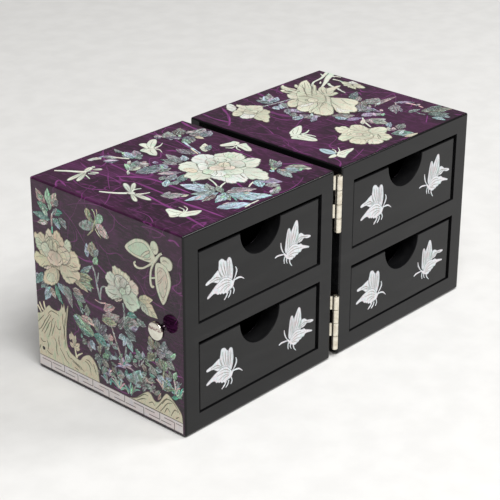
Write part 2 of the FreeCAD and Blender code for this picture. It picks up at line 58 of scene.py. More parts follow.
def lows_and_highs(node):
    """A node's box at rest, in millimetres."""
    low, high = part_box(node)
    return Vector(low) / MM, Vector(high) / MM


TOP_LOW, TOP_HIGH = lows_and_highs("right_top_panel")
BOTTOM_LOW, _ = lows_and_highs("right_bottom_panel")
HALF_GAP = TOP_LOW.x
CASE_WIDTH = TOP_HIGH.x - TOP_LOW.x
FRONT_Y = TOP_LOW.y
BACK_Y = TOP_HIGH.y
TOP_Z = TOP_HIGH.z
BASE_Z = BOTTOM_LOW.z
CASE_DEPTH = BACK_Y - FRONT_Y
CASE_HEIGHT = TOP_Z - BASE_Z
CASE_MIDDLE_X = HALF_GAP + CASE_WIDTH / 2
CASE_MIDDLE_Y = (FRONT_Y + BACK_Y) / 2
CASE_MIDDLE_Z = (BASE_Z + TOP_Z) / 2

# Camera, fitted to the corners of the box in the photograph, whose frame is 500 by 500 pixels.
PHOTO_SIZE = 500
FOCAL_PIXELS = 1629.55
SENSOR_WIDTH = 36.0
# Its place is given from its target, as angles and a distance in millimetres.
CAMERA_AZIMUTH = math.radians(-47.73)
CAMERA_ELEVATION = math.radians(25.05)
CAMERA_ROLL = math.radians(0.21)
CAMERA_DISTANCE = 732.81
CAMERA_TARGET = Vector((-61.67, FRONT_Y, BASE_Z + 79.25))
# The nearest distance that it sees, in metres.
CLIP_START = 0.01


def add_camera():
    """The photograph's camera."""
    data = bpy.data.cameras.new("camera")
    data.sensor_width = SENSOR_WIDTH
    data.lens = FOCAL_PIXELS * SENSOR_WIDTH / PHOTO_SIZE
    data.clip_start = CLIP_START
    camera = bpy.data.objects.new("camera", data)
    bpy.context.scene.collection.objects.link(camera)
    flat = math.cos(CAMERA_ELEVATION)
    back = Vector(
        (math.sin(CAMERA_AZIMUTH) * flat, -math.cos(CAMERA_AZIMUTH) * flat, math.sin(CAMERA_ELEVATION))
    )
    camera.location = (CAMERA_TARGET + back * CAMERA_DISTANCE) * MM
    turn = back.to_track_quat("Z", "Y").to_matrix().to_4x4()
    camera.rotation_mode = "QUATERNION"
    camera.rotation_quaternion = Quaternion(back, CAMERA_ROLL) @ turn.to_quaternion()
    bpy.context.scene.camera = camera


class Finish:
    """A node material with one Principled shader, and short ways to add and join nodes."""

    def __init__(self, name, **constants):
        self.material = bpy.data.materials.new(name)
        self.material.use_nodes = True
        self.tree = self.material.node_tree
        self.shader = self.tree.nodes["Principled BSDF"]
        for socket, value in constants.items():
            self.shader.inputs[socket.replace("_", " ")].default_value = value
        self.place = self.add("TexCoord").outputs["Object"]

    def add(self, kind, inputs=(), **settings):
        """Adds a node, with what its sockets take and its other settings."""
        node = self.tree.nodes.new("ShaderNode" + kind)
        for name, value in settings.items():
            setattr(node, name, value)
        for socket, value in dict(inputs).items():
            self.feed(node.inputs[socket], value)
        return node

    def feed(self, socket, value):
        """Gives a socket a value, or links another node's output to it."""
        if isinstance(value, bpy.types.NodeSocket):
            self.tree.links.new(value, socket)
        else:
            socket.default_value = value

    def set(self, socket, value):
        """Feeds one of the shader's own sockets."""
        self.feed(self.shader.inputs[socket], value)

    def moved(self, scale=(1, 1, 1), location=(0, 0, 0)):
        """The place on the piece, stretched and shifted."""
        return self.add("Mapping", {"Vector": self.place, "Scale": scale, "Location": location}).outputs[0]

    def noise(self, scale, detail=2.0, rough=0.5, bend=0.0, at=None):
        """Noise from 0 to 1, with scale features to the metre."""
        inputs = {"Scale": scale, "Detail": detail, "Roughness": rough, "Distortion": bend}
        inputs["Vector"] = at or self.place
        return self.add("TexNoise", inputs).outputs["Fac"]

    def maths(self, operation, first, second=0.0):
        """One sum on two values."""
        return self.add("Math", {0: first, 1: second}, operation=operation).outputs[0]

    def between(self, value, low, high, start=0.0, end=1.0):
        """Eases from start to end while value goes from low to high."""
        inputs = {"Value": value, "From Min": low, "From Max": high, "To Min": start, "To Max": end}
        return self.add("MapRange", inputs, interpolation_type="SMOOTHSTEP").outputs[0]

    def ramp(self, value, *stops):
        """A colour ramp: each stop is a place and a colour."""
        node = self.add("ValToRGB", {"Fac": value})
        elements = node.color_ramp.elements
        while len(elements) < len(stops):
            elements.new(0.5)
        for element, (place, colour) in zip(elements, stops):
            element.position = place
            element.color = (*colour, 1.0)
        return node.outputs["Color"]

    def mix(self, factor, first, second, blend="MIX"):
        """Mixes two colours."""
        node = self.add("Mix", data_type="RGBA", blend_type=blend)
        for name, value in (("Factor_Float", factor), ("A_Color", first), ("B_Color", second)):
            socket = next(s for s in node.inputs if s.identifier == name)
            self.feed(socket, (*value, 1.0) if isinstance(value, tuple) else value)
        return next(s for s in node.outputs if s.identifier == "Result_Color")

    def times(self, first, second, *others):
        """Two or more values multiplied together."""
        product = self.maths("MULTIPLY", first, second)
        for other in others:
            product = self.maths("MULTIPLY", product, other)
        return product

    def tinted(self, first, second):
        """Two colours multiplied together."""
        return self.mix(1.0, first, second, "MULTIPLY")

    def parts(self, vector):
        """A vector's x, y and z."""
        return self.add("SeparateXYZ", {0: vector}).outputs

    def normal(self):
        """Which way the surface faces, on the object's own axes."""
        return self.add("TexCoord").outputs["Normal"]

    def bump(self, height, strength, distance):
        """Relief of a depth in millimetres."""
        inputs = {"Height": height, "Strength": strength, "Distance": distance * MM}
        self.set("Normal", self.add("Bump", inputs).outputs[0])


BLACK = (0.006, 0.006, 0.0065)
PLUM = (0.041, 0.005, 0.032)
PLUM_DEEP = (0.0195, 0.004, 0.016)
MAGENTA = (0.30, 0.05, 0.27)
VIOLET = (0.128, 0.024, 0.112)
GLOSS_IOR = 1.45
BLACK_IOR = 1.34
NOTCH_IOR = 1.08
# Painted shade: how much darker the paper is painted on upright faces, which get less light than the top.
UPRIGHT_PAINTED_SHADE = 0.18
# Strands in the paper: how many to the metre, how wide, where their patches start, how they are
# stretched, a number that sets them apart, their tint and its strength.
PAPER_STRANDS = (
    (34, 0.010, 0.50, (1.0, 0.5, 0.8), 1.3, MAGENTA, 0.60),
    (48, 0.006, 0.50, (1.0, 0.6, 1.0), 4.1, MAGENTA, 0.62),
    (70, 0.005, 0.48, (1.0, 0.4, 0.7), 7.7, VIOLET, 0.66),
    (95, 0.004, 0.50, (0.6, 1.0, 1.0), 11.2, VIOLET, 0.60),
    (20, 0.022, 0.52, (1.0, 0.35, 0.6), 15.9, VIOLET, 0.40),
    (60, 0.005, 0.44, (0.35, 1.0, 0.5), 21.3, MAGENTA, 0.50),
    (85, 0.004, 0.42, (1.0, 0.3, 0.4), 27.8, MAGENTA, 0.45),
)
PATCH_EDGE = 0.08
# The black band between a case's front edge and its paper.
BAND_START = 0.5
BAND_END = 1.1
# Specks along the front edge of the top, partly bare wood where the lacquer is rubbed through and partly
# painted highlights on the edge: their colour, and how near to the edge they lie.
WORN_AND_GLINT = (0.42, 0.32, 0.26)
SPECKS_NEAR = 0.3
SPECKS_FAR = 0.8
SPECKS_STRENGTH = 0.6
# A face counts as turned down, or towards the gap, where its direction's share is below this.
TURNED_AWAY = -0.5


def strands(finish, scale, width, cover, stretch, seed):
    """Long thin fibres: where a slow noise passes its middle value, kept in patches."""
    at = finish.moved(stretch, (seed, seed * 1.7, seed * 0.6))
    distance = finish.maths("ABSOLUTE", finish.maths("SUBTRACT", finish.noise(scale, 1.2, at=at), 0.5))
    line = finish.between(distance, 0.0, width, 1.0, 0.0)
    patch = finish.noise(scale * 0.9, 1.0, at=finish.moved((1, 1, 1), (seed + 3, 0, seed)))
    return finish.times(line, finish.between(patch, cover, cover + PATCH_EDGE))


def paper_colour(finish):
    """Plum with a fine violet grain, under long thin strands."""
    ground = finish.mix(finish.between(finish.noise(55, 3), 0.35, 0.65), PLUM_DEEP, PLUM)
    grain = finish.noise(900, 2, at=finish.moved((1, 0.25, 1)))
    colour = finish.mix(finish.between(grain, 0.45, 0.75, 0.0, 0.48), ground, VIOLET)
    for scale, width, cover, stretch, seed, tint, depth in PAPER_STRANDS:
        line = strands(finish, scale, width, cover, stretch, seed)
        colour = finish.mix(finish.times(line, depth), colour, tint)
    return colour


def paper_area(finish, side, behind_front):
    """One on the outer faces behind the front band, and nought inside, below and in the gap."""
    sign = 1.0 if side == "right" else -1.0
    normal = finish.normal()
    across, _, up = finish.parts(normal)
    middle = (sign * CASE_MIDDLE_X * MM, CASE_MIDDLE_Y * MM, CASE_MIDDLE_Z * MM)
    outward = finish.add("VectorMath", {0: finish.place, 1: middle}, operation="SUBTRACT").outputs[0]
    facing = finish.add("VectorMath", {0: outward, 1: normal}, operation="DOT_PRODUCT").outputs["Value"]
    return finish.times(
        finish.between(behind_front, BAND_START * MM, BAND_END * MM),
        finish.maths("GREATER_THAN", facing, 0.0),
        finish.maths("GREATER_THAN", up, TURNED_AWAY),
        finish.maths("GREATER_THAN", finish.times(across, sign), TURNED_AWAY),
    )


def worn_and_glint_edge(finish, behind_front):
    """Specks along the front edge of the top, partly where the lacquer is rubbed through and partly painted
    highlights on the edge.
    """
    below_top = finish.maths("SUBTRACT", TOP_Z * MM, finish.parts(finish.place)[2])
    off_edge = finish.maths("ADD", finish.maths("ABSOLUTE", behind_front), below_top)
    specks = finish.noise(900, 3, 0.7, at=finish.moved((0.35, 1.0, 1.0)))
    near = finish.between(off_edge, SPECKS_NEAR * MM, SPECKS_FAR * MM, SPECKS_STRENGTH, 0.0)
    return finish.times(finish.between(specks, 0.62, 0.70), near)


def purple_lacquer(side):
    """Gloss lacquer over fibre paper on a case's outer faces, with painted shade on upright faces, and black
    on its front and inside.
    """
    finish = Finish(f"purple_lacquer_{side}", Roughness=0.03, IOR=GLOSS_IOR)
    behind_front = finish.maths("SUBTRACT", finish.parts(finish.place)[1], FRONT_Y * MM)
    up = finish.parts(finish.normal())[2]
    # Painted shade: upright faces are mixed towards black.
    upright = finish.between(up, 0.2, 0.8, UPRIGHT_PAINTED_SHADE, 0.0)
    paper = paper_area(finish, side, behind_front)
    colour = finish.mix(paper, BLACK, finish.mix(upright, paper_colour(finish), BLACK))
    # Light specks at the top's front edge: partly wear, partly painted highlight.
    finish.set("Base Color", finish.mix(worn_and_glint_edge(finish, behind_front), colour, WORN_AND_GLINT))
    finish.set("IOR", finish.between(paper, 0.0, 1.0, BLACK_IOR, GLOSS_IOR))
    return finish.material


FIBRE_HAIRS = ((0.32, (0.40, 0.45, 0.40)), (0.52, (1.0, 1.0, 1.0)), (0.66, (1.5, 1.6, 1.5)))


def fibre_paper():
    """The long fibres: magenta where they are thick, and the paper's own purple at their edges."""
    finish = Finish("fibre_paper", Roughness=0.05, IOR=GLOSS_IOR)
    hairs = finish.noise(1.0, 3, 0.6, 0.5, grain_at(finish, 0.08, 1.9))
    finish.set("Base Color", finish.tinted(tone_of(finish), finish.ramp(hairs, *FIBRE_HAIRS)))
    return finish.material


BLACK_GRAIN = (0.010, 0.010, 0.0105)


def black_lacquer():
    """Satin black lacquer with a faint brushed grain, and less gloss where it faces up."""
    finish = Finish("black_lacquer")
    up = finish.parts(finish.normal())[2]
    finish.set("IOR", finish.between(up, 0.05, 0.5, BLACK_IOR, NOTCH_IOR))
    grain = finish.noise(260, 4, at=finish.moved((0.12, 1.0, 1.0)))
    finish.set("Base Color", finish.mix(finish.between(grain, 0.35, 0.75), BLACK, BLACK_GRAIN))
    finish.set("Roughness", finish.between(grain, 0.3, 0.7, 0.12, 0.22))
    finish.bump(grain, 0.05, 0.03)
    return finish.material


WOOD_GRAIN = ((0.3, (0.008, 0.007, 0.007)), (0.7, (0.028, 0.023, 0.021)))


def drawer_wood():
    """Black-stained wood with open grain."""
    finish = Finish("drawer_wood", Roughness=0.55)
    grain = finish.noise(140, 5, 0.6, 0.4, finish.moved((1.0, 0.08, 1.0)))
    finish.set("Base Color", finish.ramp(grain, *WOOD_GRAIN))
    finish.set("Roughness", finish.between(grain, 0.3, 0.7, 0.45, 0.62))
    finish.bump(grain, 0.3, 0.08)
    return finish.material


VELVET = (0.0035, 0.003, 0.0038)
VELVET_BRUSHED = (0.011, 0.0095, 0.012)
VELVET_SHEEN = (0.35, 0.30, 0.36, 1.0)


def velvet():
    """Black velvet pile, with soft brushed patches."""
    finish = Finish("velvet", Roughness=0.95, Sheen_Weight=0.6, Sheen_Roughness=0.35)
    finish.set("Sheen Tint", VELVET_SHEEN)
    patches = finish.between(finish.noise(90, 3), 0.35, 0.65)
    finish.set("Base Color", finish.mix(patches, VELVET, VELVET_BRUSHED))
    finish.bump(finish.noise(3500, 2), 0.5, 0.12)
    return finish.material


FELT = (0.006, 0.006, 0.006)
FELT_FIBRES = (0.03, 0.03, 0.03)


def felt():
    """Black felt, matted from short fibres."""
    finish = Finish("felt", Roughness=1.0, Sheen_Weight=0.3)
    matting = finish.noise(1500, 4, 0.7, 1.5)
    finish.set("Base Color", finish.mix(finish.between(matting, 0.3, 0.7), FELT, FELT_FIBRES))
    finish.bump(matting, 0.7, 0.15)
    return finish.material


PIN_LOW, PIN_HIGH = lows_and_highs("upper_hinge_pin")
HINGE_AXIS_Y = (PIN_LOW.y + PIN_HIGH.y) / 2
HINGE_PLATING = ((0.3, (0.66, 0.59, 0.47)), (0.62, (0.90, 0.85, 0.73)))
# Painted shade: the leaves behind the knuckles lie in the shade of the gap and are painted dark. Where that
# starts, and where it is at its full strength.
LEAF_SHADE = (0.10, 0.065, 0.06)
LEAF_SHADE_START = HINGE_AXIS_Y + 1.6
LEAF_SHADE_FULL = HINGE_AXIS_Y + 2.2


def hinge_metal():
    """Pale plated metal, dulled in patches and along its grain, with painted shade on the leaves behind the
    knuckles.
    """
    finish = Finish("hinge_metal", Metallic=1.0, Roughness=0.3)
    plating = finish.ramp(finish.noise(420, 4, 0.6), *HINGE_PLATING)
    # Painted shade on the leaves behind the knuckles.
    shaded_leaf = finish.between(finish.parts(finish.place)[1], LEAF_SHADE_START * MM, LEAF_SHADE_FULL * MM)
    finish.set("Base Color", finish.mix(shaded_leaf, plating, LEAF_SHADE))
    brushed = finish.noise(1600, 3, at=finish.moved((1.0, 1.0, 0.05)))
    finish.set("Roughness", finish.between(brushed, 0.3, 0.7, 0.24, 0.42))
    finish.bump(brushed, 0.12, 0.02)
    return finish.material


# How far a knob's crown stands out of the end.
KNOB_OUT = 5.7
KNOB_FACE_X = HALF_GAP + CASE_WIDTH + KNOB_OUT
KNOB_PLATING = ((0.3, (0.71, 0.69, 0.59)), (0.7, (0.85, 0.845, 0.75)))
# Painted reflection: the colour of a blotchy band of the room, mirrored across the face.
KNOB_REFLECTED_BAND = (0.25, 0.15, 0.15)
# Painted reflection: a haze over the upper face, and its strength.
KNOB_REFLECTED_HAZE = (0.64, 0.55, 0.50)
REFLECTED_HAZE_STRENGTH = 0.45
# Painted shade on the back and neck: its colour.
KNOB_BACK_SHADE = (0.05, 0.035, 0.045)
# Where the painted shade on the back and neck starts behind the crown, and where it is at its darkest.
BACK_SHADE_START = 0.9
BACK_SHADE_FULL = 1.5


def knob_metal():
    """Polished plating with wipe marks, a painted reflection band across the face, a painted reflected haze
    on its upper half, and painted shade on its back and neck.
    """
    finish = Finish("knob_metal", Metallic=1.0, Roughness=0.1)
    low, high = lows_and_highs("left_knob")
    middle = (low.z + high.z) / 2
    x, _, z = finish.parts(finish.place)

    def rising(start, end):
        """Eases in between two heights above the knob's middle."""
        return finish.between(z, (middle + start) * MM, (middle + end) * MM)

    marks = finish.noise(600, 4, 0.6, 0.6)
    # Painted reflection: blotches in a band across the face.
    reflected_blotches = finish.between(finish.noise(1300, 3, 0.6, 0.6), 0.44, 0.52)
    band = finish.times(rising(0.3, 0.7), rising(2.3, 1.7))
    plating = finish.mix(finish.times(band, reflected_blotches), finish.ramp(marks, *KNOB_PLATING), KNOB_REFLECTED_BAND)
    # Painted reflection: haze over the upper half.
    reflected_haze = finish.times(rising(0, high.z - middle), REFLECTED_HAZE_STRENGTH)
    plating = finish.mix(reflected_haze, plating, KNOB_REFLECTED_HAZE)
    # Painted shade on the back and neck, which lie in shade and mirror the dark lacquer.
    back_shade_start = (KNOB_FACE_X - BACK_SHADE_START) * MM
    back_shade_full = (KNOB_FACE_X - BACK_SHADE_FULL) * MM
    back = finish.between(finish.maths("ABSOLUTE", x), back_shade_start, back_shade_full)
    finish.set("Base Color", finish.mix(back, plating, KNOB_BACK_SHADE))
    finish.set("Roughness", finish.between(marks, 0.3, 0.75, 0.07, 0.17))
    finish.bump(marks, 0.04, 0.02)
    return finish.material


def tone_of(finish):
    """The tone that a piece of inlay was given."""
    return finish.add("Attribute", attribute_name="tone").outputs["Color"]


def grain_at(finish, along, across, shift=0.0):
    """Places for a noise that is stretched along each piece: features to the millimetre."""
    grain = finish.add("Attribute", attribute_name="grain").outputs["Vector"]
    inputs = {"Vector": grain, "Scale": (along, across, 1.0), "Location": (shift, shift, shift)}
    return finish.add("Mapping", inputs).outputs[0]


# Tints along a piece of white shell, and how dark its scratched parts are.
PEARL = (
    (0.32, (0.78, 0.93, 0.83)),
    (0.44, (1.0, 1.0, 0.97)),
    (0.54, (1.05, 1.02, 0.98)),
    (0.62, (1.0, 0.86, 0.82)),
    (0.74, (0.90, 0.97, 1.02)),
)
WORN_SHADE = 0.78
SHELL_ROUGHNESS = 0.16


def white_shell():
    """Cream-white nacre: each piece has its own tone, with faint bands of rose and green."""
    finish = Finish("white_shell", Roughness=SHELL_ROUGHNESS, IOR=GLOSS_IOR)
    bands = finish.noise(0.5, 3, 0.55, 0.8, grain_at(finish, 0.5, 1.0))
    scratches = finish.noise(1.6, 3, 0.6, 0.4, grain_at(finish, 0.4, 1.2, 5.0))
    wear = finish.between(scratches, 0.3, 0.48, WORN_SHADE, 1.0)
    colour = finish.tinted(tone_of(finish), finish.ramp(bands, *PEARL))
    finish.set("Base Color", finish.tinted(colour, wear))
    finish.bump(finish.noise(520, 3), 0.12, 0.05)
    return finish.material


# Tints along a piece of abalone: dark and bright streaks, and slower changes of hue.
SHELL_STREAKS = (
    (0.28, (0.12, 0.14, 0.14)),
    (0.40, (0.46, 0.48, 0.48)),
    (0.50, (0.95, 0.96, 0.95)),
    (0.58, (1.75, 1.8, 1.75)),
    (0.66, (0.75, 0.76, 0.76)),
    (0.76, (0.22, 0.23, 0.24)),
)
SHELL_HUES = (
    (0.32, (0.68, 1.16, 0.90)),
    (0.43, (1.0, 1.0, 1.0)),
    (0.53, (1.10, 0.98, 1.0)),
    (0.60, (1.32, 0.90, 0.95)),
    (0.70, (0.76, 1.08, 1.26)),
)
# Pale flecks: partly the shell's own pale patches, partly painted glints.
SHELL_FLECK_GLINT = (0.78, 0.92, 0.88)
FLECK_GLINT_STRENGTH = 0.7


def abalone_shell():
    """Abalone: streaks along each piece, from near black to bright, and pale flecks that are partly the
    shell's own and partly painted glints.
    """
    finish = Finish("abalone_shell", Roughness=0.14, IOR=GLOSS_IOR)
    streaks = finish.noise(1.0, 4, 0.66, 0.8, grain_at(finish, 0.26, 1.1))
    hues = finish.noise(1.0, 2, 0.5, 0.6, grain_at(finish, 0.28, 0.8, 9.0))
    flecks = finish.noise(1.0, 3, 0.6, 0.8, grain_at(finish, 0.5, 1.7, 21.0))
    colour = finish.tinted(tone_of(finish), finish.ramp(streaks, *SHELL_STREAKS))
    colour = finish.tinted(colour, finish.ramp(hues, *SHELL_HUES))
    # Pale flecks, partly painted glints.
    flash = finish.times(finish.between(flecks, 0.57, 0.65), FLECK_GLINT_STRENGTH)
    finish.set("Base Color", finish.mix(flash, colour, SHELL_FLECK_GLINT))
    finish.bump(streaks, 0.2, 0.05)
    return finish.material


FRET_CLOUDS = ((0.32, (0.92, 0.93, 1.0)), (0.5, (1.0, 1.0, 1.0)), (0.68, (1.0, 0.93, 0.95)))


def fret_shell():
    """The border's shell, with faint clouds of blue and rose."""
    finish = Finish("fret_shell", Roughness=SHELL_ROUGHNESS, IOR=GLOSS_IOR)
    clouds = finish.ramp(finish.noise(260, 3, 0.5, 0.8), *FRET_CLOUDS)
    finish.set("Base Color", finish.tinted(tone_of(finish), clouds))
    finish.bump(finish.noise(500, 2), 0.12, 0.05)
    return finish.material


# How far a piece of inlay stays from the rounded edges of its face.
EDGE = 0.75
ACROSS = Vector((1, 0, 0))
BACK = Vector((0, 1, 0))
UP = Vector((0, 0, 1))


class Face:
    """A flat face of the box, with millimetres across it, up it and out of it."""

    def __init__(self, body, corner, across, up, out, width, height):
        self.body = body
        self.width = width
        self.height = height
        self.corner = Vector(corner)
        self.across = across
        self.up = up
        self.out = out
        self.mirrored = self.across.cross(self.up).dot(self.out) < 0

    def point(self, at, height):
        """A place on the face, kept off its rounded edges."""
        u = min(max(at.real, EDGE), self.width - EDGE)
        v = min(max(at.imag, EDGE), self.height - EDGE)
        return (self.corner + self.across * u + self.up * v + self.out * height) * MM


def left_edge(side):
    """The x of a case's left side, as seen from the front."""
    return HALF_GAP if side == "right" else -HALF_GAP - CASE_WIDTH


def case_faces(side):
    """The faces of one case, as seen from outside. The right end is a mirror image of the left one."""
    sign = 1 if side == "right" else -1
    body = f"{side}_case"
    left_x = left_edge(side)
    front_corner = (left_x, FRONT_Y, TOP_Z)
    end_corner = (sign * (HALF_GAP + CASE_WIDTH), BACK_Y, BASE_Z)
    back_corner = (left_x + CASE_WIDTH, BACK_Y, BASE_Z)
    return {
        "top": Face(body, front_corner, ACROSS, BACK, UP, CASE_WIDTH, CASE_DEPTH),
        "end": Face(body, end_corner, -BACK, UP, ACROSS * sign, CASE_DEPTH, CASE_HEIGHT),
        "back": Face(body, back_corner, -ACROSS, UP, BACK, CASE_WIDTH, CASE_HEIGHT),
    }


def drawer_face(side, level):
    """The face of a drawer's front, measured from the case's lower left front corner."""
    drawer = f"{side}_{level}_drawer"
    low, _ = lows_and_highs(f"{drawer}_front")
    return Face(drawer, (left_edge(side), low.y, BASE_Z), ACROSS, UP, -BACK, CASE_WIDTH, CASE_HEIGHT)


# Heights of the shell pieces: how far they stand out of the lacquer and reach into it, how much higher
# each level lies, how far a rim is eased down, and the small steps that keep neighbours apart.
SHELL = 0.10
SUNK = 0.05
LAYER = 0.03
EASE = 0.02
PIECE_LIFT = 0.003
PIECE_LIFTS = 23
# Widths of a piece's rim and of an engraved line, and how much darker a rim and a root are.
RIM = 0.45
LINE = 0.3
FINE = 0.2
RIM_SHADE = 0.34
ROOT_SHADE = 0.60
# Each piece's own number moves the noise of its material on by this much.
GRAIN_STEP = 0.37
# Less than any length on the box, where a direction would divide by nothing.
TINY = 1e-6

WHITE = (0.74, 0.80, 0.71)
ROCK = (0.66, 0.63, 0.48)
HOLE = (0.02, 0.015, 0.015)
DRAWER_WHITE = (0.69, 0.715, 0.775)
GROOVE = (0.25, 0.25, 0.21)
DARK_GROOVE = (0.10, 0.115, 0.11)
ROCK_GROOVE = (0.15, 0.15, 0.10)
# The colours of the pieces of shell, and the names of those that are cut from white shell.
TONES = {
    "white": WHITE,
    "ivory": (0.68, 0.69, 0.55),
    "cream": (0.80, 0.745, 0.57),
    "pearl": (0.76, 0.81, 0.72),
    # snow: whiter pieces, partly the shell's own white and partly painted highlights.
    "snow": (0.84, 0.87, 0.88),
    "bone": (0.76, 0.77, 0.64),
    "blush": (0.84, 0.72, 0.62),
    "peach": (0.86, 0.70, 0.54),
    "gold": (0.78, 0.76, 0.52),
    "mint": (0.64, 0.80, 0.64),
    "moss": (0.58, 0.62, 0.48),
    "silver": (0.60, 0.62, 0.60),
    "wing": (0.69, 0.71, 0.58),
    "wing_mint": (0.54, 0.67, 0.53),
    "wing_rose": (0.65, 0.60, 0.51),
    "dusk": (0.30, 0.29, 0.27),
    "sea": (0.14, 0.36, 0.30),
    "fern": (0.26, 0.43, 0.31),
    "sky": (0.42, 0.56, 0.64),
    "rose": (0.56, 0.43, 0.42),
    "mauve": (0.30, 0.27, 0.31),
    "mist": (0.24, 0.33, 0.30),
    "grey": (0.27, 0.30, 0.30),
    "ash": (0.16, 0.165, 0.18),
    "violet": (0.36, 0.31, 0.48),
    "olive": (0.32, 0.35, 0.22),
    "jade": (0.40, 0.66, 0.46),
    # ice, lilac, pink, spring and flash are brightened past the shell's own tones for the glints: painted
    # highlights.
    "ice": (0.70, 0.94, 0.98),
    "lilac": (0.84, 0.70, 0.98),
    "pink": (0.96, 0.76, 0.84),
    "spring": (0.58, 0.94, 0.68),
    "flash": (0.94, 0.96, 0.98),
}
PALE = ("white", "cream", "pearl")
# The inlay, gathered by body and kind of shell.
stores = {}


def slot_of(name, pale=PALE):
    """The kind of shell that a piece of the named tone is cut from."""
    return "white_shell" if name in pale else "abalone_shell"


def store_of(face, slot):
    """The gathered mesh of one body's pieces of one kind of shell."""
    return stores.setdefault((face.body, slot), new_store())


def new_store():
    """An empty mesh, with a tone and a grain for each point, and a count of its cut pieces."""
    return {"points": [], "faces": [], "tones": [], "grains": [], "plates": 0}


def add_point(store, point, tone, grain):
    """One more point of a gathered mesh."""
    store["points"].append(point)
    store["tones"].append(tone)
    store["grains"].append(grain)


def shade(tone, factor):
    """A tone made darker, or lighter up to full strength."""
    return tuple(min(1.0, c * factor) for c in tone)


def blended(first, second, share):
    """A colour between two others."""
    return tuple(a + (b - a) * share for a, b in zip(first, second))


def varied(tone, rng, amount=0.07):
    """A tone a little off its own lightness and hue."""
    lift = 1 + rng.uniform(-amount, amount)
    return tuple(min(1.0, max(0.0, c * lift + rng.uniform(-amount, amount) * 0.3)) for c in tone)


def spline(points, closed=False, steps=5):
    """A smooth curve through the given points."""
    count = len(points)
    path = []
    for n in range(count if closed else count - 1):
        if closed:
            a, b, c, d = (points[(n + k) % count] for k in (-1, 0, 1, 2))
        else:
            a, b, c, d = (points[min(max(n + k, 0), count - 1)] for k in (-1, 0, 1, 2))
        for step in range(steps):
            t = step / steps
            square = a - b * 2.5 + c * 2 - d / 2
            cube = b * 1.5 - a / 2 - c * 1.5 + d / 2
            path.append(b + (c - a) * t / 2 + square * t * t + cube * t**3)
    if not closed:
        path.append(points[-1])
    return path


def placed(points, at=0, turn=0.0):
    """Pairs of numbers as points, turned by degrees and moved."""
    spin = cmath.rect(1, math.radians(turn))
    return [at + spin * complex(*p) for p in points]


def unit(step):
    """A step's direction."""
    return step / max(abs(step), TINY)


def following(ring):
    """Each point of a closed ring with the one after it."""
    return zip(ring, ring[1:] + ring[:1])


def winding(outline):
    """Above nought where the outline runs against the clock."""
    return sum((p.conjugate() * q).imag for p, q in following(outline))


def inset(outline, amount):
    """The outline drawn in by an amount, or by less where the piece is narrow."""
    count = len(outline)
    ring = []
    for n, p in enumerate(outline):
        inward = unit(outline[(n + 1) % count] - outline[n - 1]) * 1j
        others = (outline[(n + k) % count] for k in range(3, count - 2))
        room = min((abs(p - other) for other in others), default=amount)
        ring.append(p + inward * min(amount, room * 0.4))
    return ring


def sides(path):
    """The direction to the left of an open path, at each of its points."""
    last = len(path) - 1
    return [unit(path[min(n + 1, last)] - path[max(n - 1, 0)]) * 1j for n in range(len(path))]


def grain_of(store, p, start, along):
    """The place of a point along and across its own piece, and a number that differs by piece."""
    spot = (p - start) / along
    return spot.real, spot.imag, len(store["faces"]) * GRAIN_STEP


def add_faces(store, faces, over):
    """Adds faces to a gathered mesh, turned over where they would look into the box."""
    store["faces"] += [face[::-1] for face in faces] if over else faces


def seen_whole(outline, middle):
    """Whether every part of an outline is in sight of its middle."""
    return all(((p - middle).conjugate() * (q - middle)).imag > 0 for p, q in following(outline))


def triangles(outline):
    """An outline cut into triangles that run against the clock."""
    cut = []
    for triangle in tessellate_polygon([[Vector((p.real, p.imag, 0)) for p in outline]]):
        a, b, c = (outline[k] for k in triangle)
        cut.append(triangle if ((b - a).conjugate() * (c - a)).imag > 0 else triangle[::-1])
    return cut


def plate(face, outline, tone, level=0.0, slot="white_shell", rim=RIM, root=None):
    """A cut piece of shell with an engraved rim. Its tone deepens towards its root, if it has one."""
    if winding(outline) < 0:
        outline = outline[::-1]
    store = store_of(face, slot)
    store["plates"] += 1
    first = len(store["points"])
    count = len(outline)
    top = SHELL + level * LAYER + PIECE_LIFT * (store["plates"] % PIECE_LIFTS)
    groove = inset(outline, rim * 0.4)
    inner = inset(outline, rim)
    middle = sum(inner) / count
    start = middle if root is None else root
    far = max(abs(p - start) for p in inner)
    along = 1j if abs(middle - start) < 0.1 else (middle - start) / abs(middle - start)
    dark = shade(tone, RIM_SHADE)

    def tone_at(p):
        """The piece's own tone, or darker towards its root."""
        strength = 1.0 if root is None else ROOT_SHADE + (1 - ROOT_SHADE) * min(1, abs(p - root) / far)
        return shade(tone, strength)

    def add(p, height, own):
        """One point of the piece."""
        add_point(store, face.point(p, height), own, grain_of(store, p, start, along))

    for ring, height in ((outline, -SUNK), (outline, top - EASE), (groove, top - EASE / 2)):
        for p in ring:
            add(p, height, dark)
    for p in inner:
        add(p, top, tone_at(p))
    made = []
    for ring_start in range(first, first + count * 3, count):
        for n in range(count):
            a = ring_start + n
            b = ring_start + (n + 1) % count
            made.append((a, b, b + count, a + count))
    top_start = first + count * 3
    if seen_whole(inner, middle):
        heart = len(store["points"])
        add(middle, top, tone_at(middle))
        made += [(top_start + n, top_start + (n + 1) % count, heart) for n in range(count)]
    else:
        made += [tuple(top_start + k for k in triangle) for triangle in triangles(inner)]
    add_faces(store, made, face.mirrored)


def ribbon(first, count, across):
    """The faces between a path's sections, each of as many points across."""
    made = []
    for section in range(first, first + (count - 1) * across, across):
        for a in range(section, section + across - 1):
            made.append((a, a + 1, a + across + 1, a + across))
    return made


# Half the flat top of a narrow piece, where its half width is one.
CREST = 0.55


